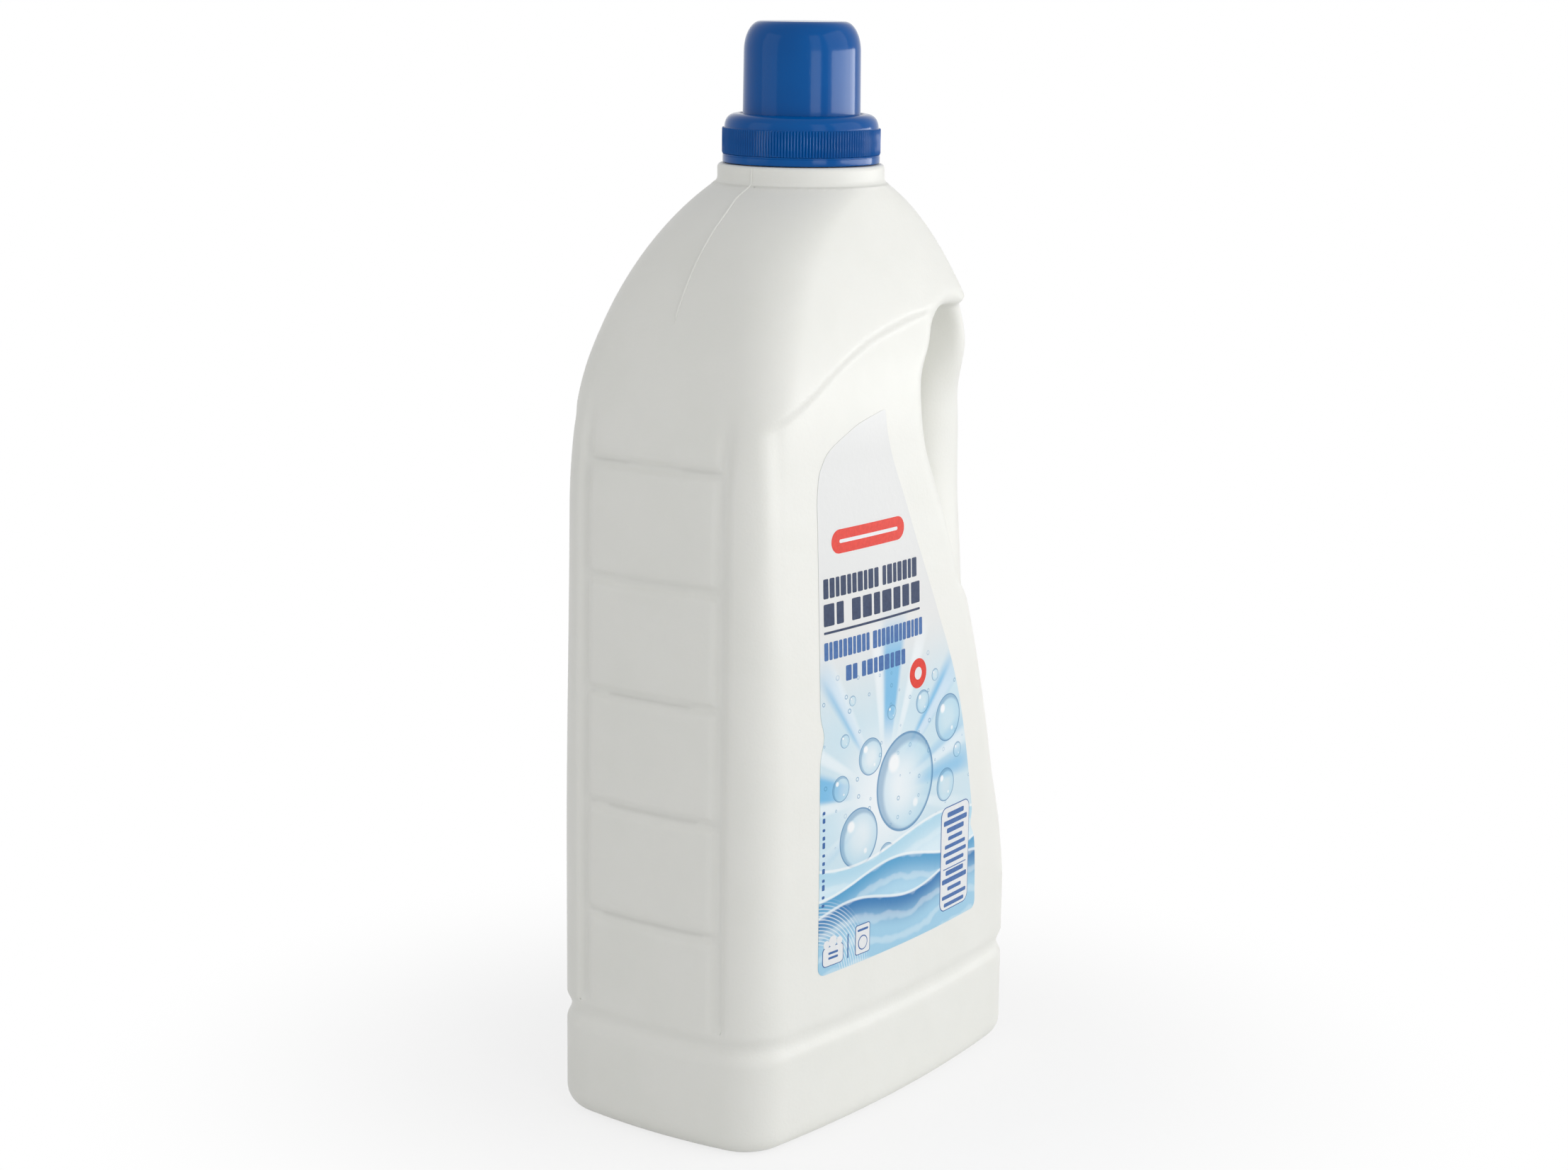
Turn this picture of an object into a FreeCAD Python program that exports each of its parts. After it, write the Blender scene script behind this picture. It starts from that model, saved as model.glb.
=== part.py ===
import FreeCAD, Part
import math
import os

V = FreeCAD.Vector

# Laundry detergent bottle with a grip hole, a pourer in its neck and a screw-on dosing cap.
# Millimetres. The origin is on the neck's axis at the level that the bottle stands on.
# +Z is up, X runs along the wide face with the grip at +X, and the front label faces -Y.

# Bottle body, a rounded rectangle with four bulging sides
body_half_width = 84.1
body_half_depth = 49.2
side_bulge = 1.9
face_bulge = 4.2
corner_r = 17.8
base_edge_r = 8.0
wall = 1.2

# Neck bead under the cap, and the neck that carries the thread
bead_z = 317.8
bead_r = 28.3
bead_h = 5.0
bead_edge_r = 1.4
neck_r = 23.0
neck_h = 12.0
neck_bore_r = 20.8
neck_blend = 0.05
neck_flare_w = 1.0
neck_flare_h = 1.5
neck_step = 0.2

# Shoulder, measured down from its top: two tangent arcs in the wide view, a soft slope in the narrow view
shoulder_top_h = 40.8
shoulder_low_h = 65.5
shoulder_low_r = 154.0
slope_h = 86.3
slope_ease = 0.5
shoulder_side_swell = 1.5
shoulder_face_swell = 3.0
shoulder_sections = 9
upright_overlap = 20.0

# Thread: two starts, with the same lead on the neck and in the cap
thread_lead = 10.0
thread_starts = 2
thread_end_gap = 1.6
thread_clearance = 0.5
ridge_root_w = 2.2
ridge_crest_w = 1.1
ridge_root_sink = 0.3

# Standing ring, push-up of the base, and the ring groove above the base
pushup_margin = 16.0
pushup_slope = 9.0
pushup_h = 3.0
pushup_corner_r = 10.0
ring_groove_z = 37.2
ring_groove_half_h = 4.8
ring_groove_depth = 1.6

# Pressed cells on the narrow side away from the grip
rib_groove_w = 7.0
rib_groove_depth = 1.3
rib_groove_y = 28.0
rib_fade_r = 200.0
rib_fade_turn = 0.28
cell_pitch = 38.5
cell_count = 5
cell_low_gap = 37.8

# Panel that each label lies in, under a curved crease measured down from the shoulder's top
panel_depth = 1.8
panel_fade_h = 176.3
panel_lead_in = 10.0
panel_sections = 5
crease_left_x = -71.3
crease_left_drop = 72.1
crease_mid_x = -38.9
crease_mid_drop = 55.7
crease_right_x = 0.2
crease_right_drop = 43.7
crease_rise = 4.0

# Grip: a slab thinner than the body, the slanted edge of the full-depth body, and the hole
grip_half_depth = 24.5
grip_side_step = 0.6
grip_round_r = 14.0
grip_swell = 1.0
grip_head_drop = 16.3
grip_high_drop = 61.3
grip_low_drop = 141.3
grip_foot_gap = 22.8
edge_flare = 9.0
edge_flare_reach = 11.0
hole_drop = 59.3
hole_span_h = 67.0
hole_left_inset = 47.1
hole_right_inset = 42.6
hole_low_inset = 37.6
hole_top_r = 11.5
hole_low_r = 6.5
mouth_bevel = 6.0
mouth_bevel_depth = 9.0
mouth_reach = 12.0

# Pourer pressed into the neck, and the sealing washer above its flange
flange_inset = 0.4
flange_h = 1.4
plug_wall = 1.2
plug_fit = 0.05
plug_h = 13.0
spout_r = 12.8
spout_wall = 1.3
spout_head_room = 12.9
spout_slant = 9.0
spout_slot_w = 7.0
floor_slope = 1.0
seal_h = 1.0
seal_gap = 0.1
seal_clearance = 0.7

# Dosing cap
cap_gap = 0.35
cap_deck_h = 2.0
cup_h = 30.6
collar_r = 26.35
collar_wall = 1.35
collar_top_r = 22.5
collar_shoulder_h = 4.65
collar_shoulder_swell = 0.8
lip_band_h = 2.9
lip_band_proud = 0.25
rib_count = 160
rib_h = 0.45
rib_root_sink = 0.05
cup_r = 19.9
cup_draft = 0.2
cup_wall = 1.4
cup_edge_w = 5.7
cup_edge_h = 10.0
cup_inner_edge_r = 4.0
cup_step_h = 0.5
cup_step_w = 0.7

# Labels: film, outline in the wide view, and the print on the front one
glue_h = 0.05
film_h = 0.4
print_h = 0.25
print_gap = 0.05
label_foot_gap = 20.3
label_side_h = 163.5
label_left_inset = 33.5
label_right_inset = 37.2
label_edge_r = 3.0
water_h = 92.5
water_fall = 16.0
print_margin = 1.0
heading_inset = 1.6
heading_rise = 132.5
heading_w = 46.0
heading_h = 4.4
heading_pitch = 9.0
heading_count = 2
subhead_rise = 110.5
subhead_h = 3.2
badge_half_h = 4.0
badge_w = 40.0
badge_inset = 6.6
badge_rise = 146.5
note_inset = 3.9
note_rise = 6.5
note_w = 12.0
note_h = 38.0
bar_edge_r = 1.0

# Worked out from the sizes above
shoulder_top = bead_z - neck_flare_h
shoulder_top_r = bead_r + neck_flare_w
shoulder_break_z = shoulder_top - shoulder_top_h
shoulder_z = shoulder_break_z - shoulder_low_h
slope_start_z = shoulder_top - slope_h
bead_top = bead_z + bead_h
neck_top = bead_top + neck_h
flange_top = neck_top + flange_h
flange_r = neck_r - flange_inset
cap_low = bead_top + cap_gap
deck_low = flange_top + seal_h + 2 * seal_gap
collar_top = deck_low + cap_deck_h
cap_top = collar_top + cup_h
skirt_bore_r = collar_r - collar_wall
cup_bore_r = cup_r - cup_wall
rib_band_low = cap_low + lip_band_h
rib_band_top = collar_top - collar_shoulder_h
thread_rise = skirt_bore_r - neck_r - thread_clearance
thread_run = neck_h - 2 * ridge_root_w - thread_end_gap
grip_head_z = shoulder_top - grip_head_drop
grip_high_z = shoulder_top - grip_high_drop
grip_low_z = shoulder_top - grip_low_drop
grip_foot_z = ring_groove_z + grip_foot_gap
hole_top_z = shoulder_top - hole_drop
hole_low_z = hole_top_z - hole_span_h
crease_left_z = shoulder_top - crease_left_drop
crease_mid_z = shoulder_top - crease_mid_drop
crease_right_z = shoulder_top - crease_right_drop
panel_fade_z = shoulder_top - panel_fade_h
label_low_z = ring_groove_z + label_foot_gap
label_left_z = label_low_z + label_side_h
label_left_x = label_left_inset - body_half_width
label_right_x = body_half_width - label_right_inset


def polygon(points):
    """Closed wire through straight corners."""
    return Part.makePolygon(list(points) + [points[0]])


def extrude_y(wire, low, high):
    """Solid from a wire drawn in the XZ plane, between two places along Y."""
    face = Part.Face(wire)
    face.translate(V(0, low, 0))
    return face.extrude(V(0, high - low, 0))


def revolve(points):
    """Solid of revolution about the neck's axis from (radius, height) corners."""
    face = Part.Face(polygon([V(r, 0, z) for r, z in points]))
    return face.revolve(V(0, 0, 0), V(0, 0, 1), 360)


def arc_edge(centre, radius, start, end, z):
    """Arc in a level plane, about centre, from one angle to the other."""
    points = []
    for angle in (start, (start + end) / 2, end):
        points.append(V(centre[0] + radius * math.cos(angle), centre[1] + radius * math.sin(angle), z))
    return Part.Arc(*points).toShape()


def bulge_radius(reach, across, round_r, bulge):
    """Radius of a side's arc that touches a corner arc: its centre is reach and across from the middle."""
    return (reach ** 2 + across ** 2 - round_r ** 2) / (2 * bulge)


def outline(half_width, half_depth, side_swell, face_swell, round_r, z):
    """Level outline of the body: four bulging sides and four corner arcs, all tangent."""
    x = half_width - side_swell - round_r
    y = half_depth - face_swell - round_r
    side_r = bulge_radius(half_width - x, y, round_r, side_swell)
    face_r = bulge_radius(half_depth - y, x, round_r, face_swell)
    side_x = half_width - side_r
    face_y = half_depth - face_r
    low = math.atan2(y, x - side_x)
    high = math.atan2(y - face_y, x)
    turn = math.pi
    edges = [
        arc_edge((side_x, 0), side_r, -low, low, z),
        arc_edge((x, y), round_r, low, high, z),
        arc_edge((0, face_y), face_r, high, turn - high, z),
        arc_edge((-x, y), round_r, turn - high, turn - low, z),
        arc_edge((-side_x, 0), side_r, turn - low, turn + low, z),
        arc_edge((-x, -y), round_r, turn + low, turn + high, z),
        arc_edge((0, -face_y), face_r, turn + high, 2 * turn - high, z),
        arc_edge((x, -y), round_r, 2 * turn - high, 2 * turn - low, z),
    ]
    return Part.Wire(edges)


def shoulder_width(z):
    """Half width at height z: upright, then a large arc, then an arc tangent to it that ends at the bead."""
    if z <= shoulder_z:
        return body_half_width
    centre_x = body_half_width - shoulder_low_r
    if z <= shoulder_break_z:
        return centre_x + math.sqrt(shoulder_low_r ** 2 - (z - shoulder_z) ** 2)
    rise = shoulder_break_z - shoulder_z
    normal_x = math.sqrt(shoulder_low_r ** 2 - rise ** 2) / shoulder_low_r
    normal_z = rise / shoulder_low_r
    start_x = centre_x + normal_x * shoulder_low_r
    step_x = shoulder_top_r - start_x
    step_z = shoulder_top - shoulder_break_z
    radius = -(step_x ** 2 + step_z ** 2) / (2 * (step_x * normal_x + step_z * normal_z))
    from_centre = z - (shoulder_break_z - radius * normal_z)
    return start_x - radius * normal_x + math.sqrt(radius ** 2 - from_centre ** 2)


def shoulder_depth(z):
    """Half depth at height z: upright, then easing into a straight slope up to the bead."""
    if z <= slope_start_z:
        return body_half_depth
    share = (z - slope_start_z) / (shoulder_top - slope_start_z)
    fall = (math.hypot(share, slope_ease) - slope_ease) / (math.hypot(1, slope_ease) - slope_ease)
    return body_half_depth - (body_half_depth - shoulder_top_r) * fall


def section(z, inset):
    """Body outline at height z, moved inwards by inset. It rounds off into a circle at the bead."""
    share = max(0.0, (z - slope_start_z) / (shoulder_top - slope_start_z))
    middle = math.sin(math.pi * share)
    side_swell = side_bulge * (1 - share) + shoulder_side_swell * middle + neck_blend * share
    face_swell = face_bulge * (1 - share) + shoulder_face_swell * middle + neck_blend * share
    round_r = corner_r + (shoulder_top_r - 5 * neck_blend - corner_r) * share
    return (shoulder_width(z) - inset, shoulder_depth(z) - inset, side_swell, face_swell, round_r - inset)


def full_body(inset):
    """Whole bottle body with no grip: an upright part and a lofted shoulder."""
    upright_top = shoulder_z - upright_overlap
    upright = Part.Face(outline(*section(0, inset), inset)).extrude(V(0, 0, upright_top - inset))
    foot = [e for e in upright.Edges if e.BoundBox.ZMax < inset + 0.01]
    upright = upright.makeFillet(base_edge_r - inset, foot)
    heights = [upright_top, shoulder_z - upright_overlap / 2, shoulder_z]
    for i in range(1, shoulder_sections + 1):
        share = math.sin(math.pi / 2 * i / shoulder_sections)
        heights.append(shoulder_z + (shoulder_top - shoulder_z) * share)
    shoulder = Part.makeLoft([outline(*section(z, inset), z) for z in heights], True, False)
    return upright.fuse(shoulder)


def grip_edge(shift):
    """Edge of the full-depth body beside the grip, in the wide view, moved by shift along X."""
    side = body_half_width
    points = [
        (side - 22, grip_head_z - 1), (side - 52, grip_high_z + 36), (side - 66, grip_high_z + 25),
        (side - 71.5, grip_high_z + 8), (side - 72, grip_high_z - 8), (side - 69.5, grip_high_z - 24),
        (side - 63, grip_high_z - 38), (side - 50, grip_low_z + 17), (side - 29, grip_low_z - 42),
        (side - 19, grip_low_z - 77), (side - 8, grip_foot_z + 6), (side + 8, grip_foot_z - 12),
    ]
    return [V(x + shift, 0, z) for x, z in points]


def grip_cutter(inset):
    """What is taken off the full-depth body beside the grip: its edge flares to the front and the back."""
    points = grip_edge(edge_flare - inset)
    curve = Part.BSplineCurve()
    curve.interpolate(points)
    far = body_half_width + 60
    closing = Part.makePolygon([points[-1], V(far, 0, points[-1].z), V(far, 0, points[0].z), points[0]])
    wire = Part.Wire([curve.toShape()] + closing.Edges)
    middle = extrude_y(wire, -grip_half_depth, grip_half_depth)
    reach = body_half_depth - grip_half_depth
    run = reach + edge_flare_reach
    for side in (-1, 1):
        face = Part.Face(wire)
        face.translate(V(0, side * grip_half_depth, 0))
        middle = middle.fuse(face.extrude(V(-edge_flare * run / reach, side * run, 0)))
    return middle


def grip_share(z):
    """How far the section is the grip's own: 1 along the grip, easing to 0 where it merges with the body."""
    if z < grip_low_z:
        along = (z - grip_foot_z) / (grip_low_z - grip_foot_z)
    elif z > grip_high_z:
        along = (grip_head_z - z) / (grip_head_z - grip_high_z)
    else:
        along = 1.0
    return math.sin(math.pi / 2 * along) ** 2


def grip_slab(inset):
    """Thinner slab over the whole width that the grip is a part of. Its ends lie just inside the body."""
    heights = [grip_foot_z + inset]
    for i in range(1, 5):
        heights.append(grip_foot_z + (grip_low_z - grip_foot_z) * i / 4)
    heights.append((grip_low_z + grip_high_z) / 2)
    for i in range(0, 5):
        heights.append(grip_high_z + (grip_head_z - inset - grip_high_z) * i / 4)
    wires = []
    for z in heights:
        share = grip_share(z)
        half_width, half_depth, side_swell, face_swell, round_r = section(z, grip_side_step)
        half_depth = half_depth + (grip_half_depth - half_depth) * share
        face_swell = face_swell + (grip_swell - face_swell) * share
        round_r = round_r + (grip_round_r - round_r) * share
        sizes = (half_width - inset, half_depth - inset, side_swell, face_swell, round_r - inset)
        wires.append(outline(*sizes, z))
    return Part.makeLoft(wires, True, False)


def hull_wire(circles, y):
    """Outline around circles (x, z, radius) given anticlockwise: arcs joined by their outer tangents."""
    tangents = []
    for (x0, z0, r0), (x1, z1, r1) in zip(circles, circles[1:] + circles[:1]):
        heading = math.atan2(z1 - z0, x1 - x0)
        lean = math.acos((r0 - r1) / math.hypot(x1 - x0, z1 - z0))
        tangents.append(heading - lean)
    edges = []
    count = len(circles)
    for i in range(count):
        x0, z0, r0 = circles[i]
        x1, z1, r1 = circles[(i + 1) % count]
        before = tangents[i - 1]
        after = tangents[i]
        while after < before:
            after += 2 * math.pi
        stops = []
        for angle in (before, (before + after) / 2, after):
            stops.append(V(x0 + r0 * math.cos(angle), y, z0 + r0 * math.sin(angle)))
        edges.append(Part.Arc(*stops).toShape())
        landing = V(x1 + r1 * math.cos(tangents[i]), y, z1 + r1 * math.sin(tangents[i]))
        edges.append(Part.makeLine(stops[2], landing))
    return Part.Wire(edges)


def hole_outline(grow, y):
    """Teardrop outline of the grip hole at one place along Y, grown by grow."""
    circles = [
        (body_half_width - hole_low_inset, hole_low_z, hole_low_r + grow),
        (body_half_width - hole_right_inset, hole_top_z, hole_top_r + grow),
        (body_half_width - hole_left_inset, hole_top_z, hole_top_r + grow),
    ]
    return hull_wire(circles, y)


def hole_cutter(grow):
    """Grip hole from front to back, with both mouths bevelled."""
    throat = grip_half_depth - mouth_bevel_depth
    spread = mouth_bevel * (mouth_bevel_depth + mouth_reach) / mouth_bevel_depth
    out = grip_half_depth + mouth_reach
    places = [(-out, spread), (-throat, 0), (throat, 0), (out, spread)]
    return Part.makeLoft([hole_outline(grow + extra, y) for y, extra in places], True, True)


def ring_groove(grow):
    """Round-bottomed groove all round the body above its base."""
    radius = (ring_groove_half_h ** 2 + ring_groove_depth ** 2) / (2 * ring_groove_depth)
    spine = outline(*section(0, ring_groove_depth - radius), ring_groove_z)
    start = spine.Edges[0].valueAt(spine.Edges[0].FirstParameter)
    heading = spine.Edges[0].tangentAt(spine.Edges[0].FirstParameter)
    profile = Part.Wire(Part.makeCircle(radius + grow, start, heading))
    return spine.makePipeShell([profile], True, False)


def cell_grooves(grow):
    """Grooves that frame the pressed cells on the narrow side: two upright, the rest level."""
    radius = (rib_groove_w ** 2 / 4 + rib_groove_depth ** 2) / (2 * rib_groove_depth)
    tools = []
    corner_y = body_half_depth - face_bulge - corner_r
    side_r = bulge_radius(side_bulge + corner_r, corner_y, corner_r, side_bulge)
    drop = side_r - math.sqrt(side_r ** 2 - rib_groove_y ** 2)
    upright_x = -body_half_width + drop - radius + rib_groove_depth
    for y in (-rib_groove_y, rib_groove_y):
        low = V(upright_x, y, ring_groove_z)
        bend = V(upright_x, y, shoulder_z)
        straight = Part.makeLine(low, bend)
        stops = []
        for turn in (0, rib_fade_turn / 2, rib_fade_turn):
            x = upright_x + rib_fade_r * (1 - math.cos(turn))
            stops.append(V(x, y, shoulder_z + rib_fade_r * math.sin(turn)))
        bow = Part.Arc(*stops).toShape()
        profile = Part.Wire(Part.makeCircle(radius + grow, low, V(0, 0, 1)))
        tools.append(Part.Wire([straight, bow]).makePipeShell([profile], True, False))
    for i in range(cell_count):
        z = ring_groove_z + cell_low_gap + cell_pitch * i
        half_width = shoulder_width(z)
        arc_r = side_r + radius - rib_groove_depth
        half_turn = math.asin(rib_groove_y / arc_r)
        centre = (side_r - half_width, 0)
        spine = arc_edge(centre, arc_r, math.pi - half_turn, math.pi + half_turn, z)
        profile = Part.Wire(Part.makeCircle(radius + grow, spine.valueAt(spine.FirstParameter),
                                            spine.tangentAt(spine.FirstParameter)))
        tools.append(Part.Wire([spine]).makePipeShell([profile], True, False))
    return tools


def panel_cutter(side, inset):
    """Shallow panel for a label on one face: under the crease the face lies deeper, more towards the top."""
    start = V(crease_left_x, 0, crease_left_z)
    middle = V(crease_mid_x, 0, crease_mid_z)
    end = V(crease_right_x, 0, crease_right_z)
    right = V(body_half_width, 0, crease_right_z + crease_rise)
    arc = Part.Arc(start, middle, end).toShape()
    below = [end, right, V(body_half_width, 0, panel_fade_z), V(crease_left_x, 0, panel_fade_z), start]
    wire = Part.Wire([arc] + Part.makePolygon(below).Edges)
    block = extrude_y(wire, 0, side * 2 * body_half_depth)
    top = right.z + 4
    wires = []
    for i in range(panel_sections + 1):
        share = i / panel_sections
        z = panel_fade_z - panel_lead_in + (top - panel_fade_z + panel_lead_in) * share
        deeper = panel_depth * (z - panel_fade_z) / (crease_left_z - panel_fade_z)
        wires.append(outline(*section(z, inset + min(deeper, panel_depth)), z))
    return block.cut(Part.makeLoft(wires, True, False))


def pushup(grow):
    """Dished underside: a low block with sloping walls."""
    wires = []
    for margin, z in ((pushup_margin - grow, 0), (pushup_margin + pushup_slope - grow, pushup_h + grow)):
        half_width = body_half_width - margin
        half_depth = body_half_depth - margin
        wires.append(outline(half_width, half_depth, side_bulge, face_bulge, pushup_corner_r, z))
    return Part.makeLoft(wires, True, True)


def body_form(inset):
    """Bottle body as one closed solid, moved inwards by inset, with its grip, grooves and panels."""
    form = full_body(inset).cut(grip_cutter(inset))
    slab = grip_slab(inset).cut(hole_cutter(inset))
    form = form.fuse(slab)
    form = form.cut(ring_groove(inset))
    for tool in cell_grooves(inset):
        form = form.cut(tool)
    form = form.cut(panel_cutter(1, inset))
    form = form.cut(panel_cutter(-1, inset))
    return form.cut(pushup(inset))


def helix_ridge(radius, outward, z, start_angle):
    """One thread ridge with sloping flanks, standing out of or into a wall of this radius."""
    sign = 1 if outward else -1
    root = radius - sign * ridge_root_sink
    crest = radius + sign * thread_rise
    half_root = ridge_root_w / 2
    half_crest = ridge_crest_w / 2
    corners = [(root, -half_root), (crest, -half_crest), (crest, half_crest), (root, half_root)]
    profile = polygon([V(r, 0, h) for r, h in corners])
    helix = Part.makeHelix(thread_lead, thread_run, radius)
    ridge = Part.Wire(helix).makePipeShell([profile], True, True)
    ridge.rotate(V(0, 0, 0), V(0, 0, 1), start_angle)
    ridge.translate(V(0, 0, z))
    return ridge


def make_bottle(outer, cavity):
    """Blow-moulded shell with its neck, thread and bead in one."""
    bead = revolve([
        (neck_bore_r, shoulder_top - 1), (shoulder_top_r - wall / 2, shoulder_top - 1),
        (shoulder_top_r - wall / 2, shoulder_top), (shoulder_top_r - neck_step, shoulder_top),
        (bead_r + 0.3 * neck_flare_w, shoulder_top + neck_flare_h / 2), (bead_r, bead_z),
        (bead_r, bead_top - bead_edge_r), (bead_r - 0.3 * bead_edge_r, bead_top - 0.3 * bead_edge_r),
        (bead_r - bead_edge_r, bead_top), (neck_r, bead_top), (neck_r, neck_top), (neck_bore_r, neck_top),
    ])
    throat_r = bead_r - wall
    roof = bead_top - wall
    throat = revolve([
        (0, shoulder_top - 2), (throat_r, shoulder_top - 2), (throat_r, roof - bead_edge_r),
        (throat_r - bead_edge_r, roof), (neck_bore_r, roof), (neck_bore_r, neck_top + 1), (0, neck_top + 1),
    ])
    bottle = outer.fuse(bead).cut(cavity).cut(throat)
    low = bead_top + ridge_root_w
    for start in range(thread_starts):
        bottle = bottle.fuse(helix_ridge(neck_r, True, low, 360 / thread_starts * start))
    return bottle


def make_pour_spout():
    """Drain-back pourer: a plug wall, a floor with a raised channel spout, and a flange on the neck's rim."""
    plug_r = neck_bore_r - plug_fit
    floor_z = neck_top - plug_h
    body = revolve([
        (spout_r - spout_wall, floor_z), (plug_r, floor_z), (plug_r, neck_top), (flange_r, neck_top),
        (flange_r, flange_top), (plug_r - plug_wall, flange_top),
        (plug_r - plug_wall, floor_z + plug_wall + floor_slope), (spout_r - spout_wall, floor_z + plug_wall),
    ])
    top = cap_top - cup_wall - spout_head_room
    spout_h = top - floor_z
    tube = Part.makeCylinder(spout_r, spout_h, V(0, 0, floor_z))
    tube = tube.cut(Part.makeCylinder(spout_r - spout_wall, spout_h, V(0, 0, floor_z)))
    out = spout_r + 1
    slant = polygon([V(-out, 0, top + 1), V(out, 0, top + 1), V(out, 0, top - spout_slant), V(-out, 0, top)])
    tube = tube.cut(extrude_y(slant, -out, out))
    slot_z = floor_z + plug_wall + floor_slope
    slot = Part.makeBox(spout_r + 1, spout_slot_w, spout_h, V(0, -spout_slot_w / 2, slot_z))
    return body.fuse(tube.cut(slot))


def make_seal_ring():
    """Flat washer between the pourer's flange and the deck of the cap."""
    low = flange_top + seal_gap
    ring = Part.makeCylinder(skirt_bore_r - seal_clearance, seal_h, V(0, 0, low))
    return ring.cut(Part.makeCylinder(cup_bore_r + seal_clearance, seal_h, V(0, 0, low)))


def rib_band():
    """Ring of fine upright ribs round the collar."""
    points = []
    for i in range(2 * rib_count):
        angle = math.pi * i / rib_count
        radius = collar_r + (rib_h if i % 2 else -rib_root_sink)
        points.append(V(radius * math.cos(angle), radius * math.sin(angle), rib_band_low))
    height = rib_band_top - rib_band_low
    band = Part.Face(polygon(points)).extrude(V(0, 0, height))
    return band.cut(Part.makeCylinder(collar_r - collar_wall / 2, height, V(0, 0, rib_band_low)))


def make_dosing_cap():
    """Cap in one moulding: a collar with ribs outside and thread inside, a deck, and the measuring cup."""
    lip_r = collar_r + lip_band_proud
    edge_z = cap_top - cup_edge_h
    cup_top_r = cup_r - cup_draft
    roof = cap_top - cup_wall
    roof_r = cup_bore_r - cup_inner_edge_r
    skirt = [V(r, 0, z) for r, z in [
        (skirt_bore_r, cap_low), (lip_r, cap_low), (lip_r, rib_band_low), (collar_r, rib_band_low),
        (collar_r, rib_band_top),
    ]]
    shoulder_mid = V((collar_r + collar_top_r) / 2 + collar_shoulder_swell, 0,
                     (rib_band_top + collar_top) / 2 + collar_shoulder_swell)
    shoulder = Part.Arc(skirt[-1], shoulder_mid, V(collar_top_r, 0, collar_top)).toShape()
    cup = [V(r, 0, z) for r, z in [
        (collar_top_r, collar_top), (cup_r + cup_step_w, collar_top), (cup_r, collar_top - cup_step_h),
        (cup_top_r, edge_z),
    ]]
    middle = V(cup_top_r - cup_edge_w, 0, edge_z)
    rim = V(cup_top_r - cup_edge_w, 0, cap_top)
    edge = Part.ArcOfEllipse(Part.Ellipse(rim, cup[-1], middle), 0, math.pi / 2).toShape()
    top = [rim, V(0, 0, cap_top), V(0, 0, roof), V(roof_r, 0, roof)]
    bend = cup_inner_edge_r * math.sqrt(0.5)
    inside = [V(r, 0, z) for r, z in [
        (cup_bore_r, roof - cup_inner_edge_r), (cup_bore_r, deck_low), (skirt_bore_r, deck_low),
        (skirt_bore_r, cap_low),
    ]]
    inner_edge = Part.Arc(top[-1], V(roof_r + bend, 0, roof - cup_inner_edge_r + bend), inside[0]).toShape()
    edges = [shoulder, edge, inner_edge]
    for run in (skirt, cup, top, inside):
        edges += Part.makePolygon(run).Edges
    cap = Part.Face(Part.Wire(Part.__sortEdges__(edges))).revolve(V(0, 0, 0), V(0, 0, 1), 360)
    cap = cap.fuse(rib_band())
    low = bead_top + ridge_root_w + thread_lead / thread_starts / 2
    for start in range(thread_starts):
        cap = cap.fuse(helix_ridge(skirt_bore_r, False, low, 360 / thread_starts * start))
    return cap


def film(form, wire, side, low, high):
    """Thin layer that follows a face of the body inside an outline, from low to high above it."""
    block = extrude_y(wire, 0, side * 2 * body_half_depth)
    bottom = form.copy()
    bottom.translate(V(0, side * low, 0))
    top = form.copy()
    top.translate(V(0, side * high, 0))
    return block.common(top).cut(bottom)


def label_wire():
    """Outline of a label: square below, arched to a point at its upper right, slanted on the grip's side."""
    r = label_edge_r
    low = label_low_z
    left = label_left_x
    right = label_right_x
    bend = r * (1 - math.sqrt(0.5))
    side = Part.makeLine(V(left, 0, low + r), V(left, 0, label_left_z))
    crown_points = [(0, 0), (1.8, 8), (6.9, 14), (14.1, 17.6), (23.4, 21.2), (33.9, 23.6)]
    crown = Part.BSplineCurve()
    crown.interpolate([V(left + x, 0, label_left_z + z) for x, z in crown_points])
    tip_end = V(right - 61.0, 0, label_left_z + 18.4)
    tip_mid = V(tip_end.x - 0.9, 0, tip_end.z + 4)
    tip = Part.Arc(V(left + 33.9, 0, label_left_z + 23.6), tip_mid, tip_end).toShape()
    slope_points = [(61, 18.4), (48, -12), (30.5, -48), (17.3, -76), (5.6, -118), (1.5, -138)]
    slope = Part.BSplineCurve()
    slope.interpolate([V(right - x, 0, label_left_z + z) for x, z in slope_points] + [V(right, 0, low + r)])
    low_right = Part.Arc(V(right, 0, low + r), V(right - bend, 0, low + bend), V(right - r, 0, low)).toShape()
    bottom = Part.makeLine(V(right - r, 0, low), V(left + r, 0, low))
    low_left = Part.Arc(V(left + r, 0, low), V(left + bend, 0, low + bend), V(left, 0, low + r)).toShape()
    return Part.Wire([side, crown.toShape(), tip, slope.toShape(), low_right, bottom, low_left])


def rounded_box(x, z, width, height, radius):
    """Rounded rectangle in the wide view, from its lower left corner."""
    circles = [
        (x + radius, z + radius, radius), (x + width - radius, z + radius, radius),
        (x + width - radius, z + height - radius, radius), (x + radius, z + height - radius, radius),
    ]
    return hull_wire(circles, 0)


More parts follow.
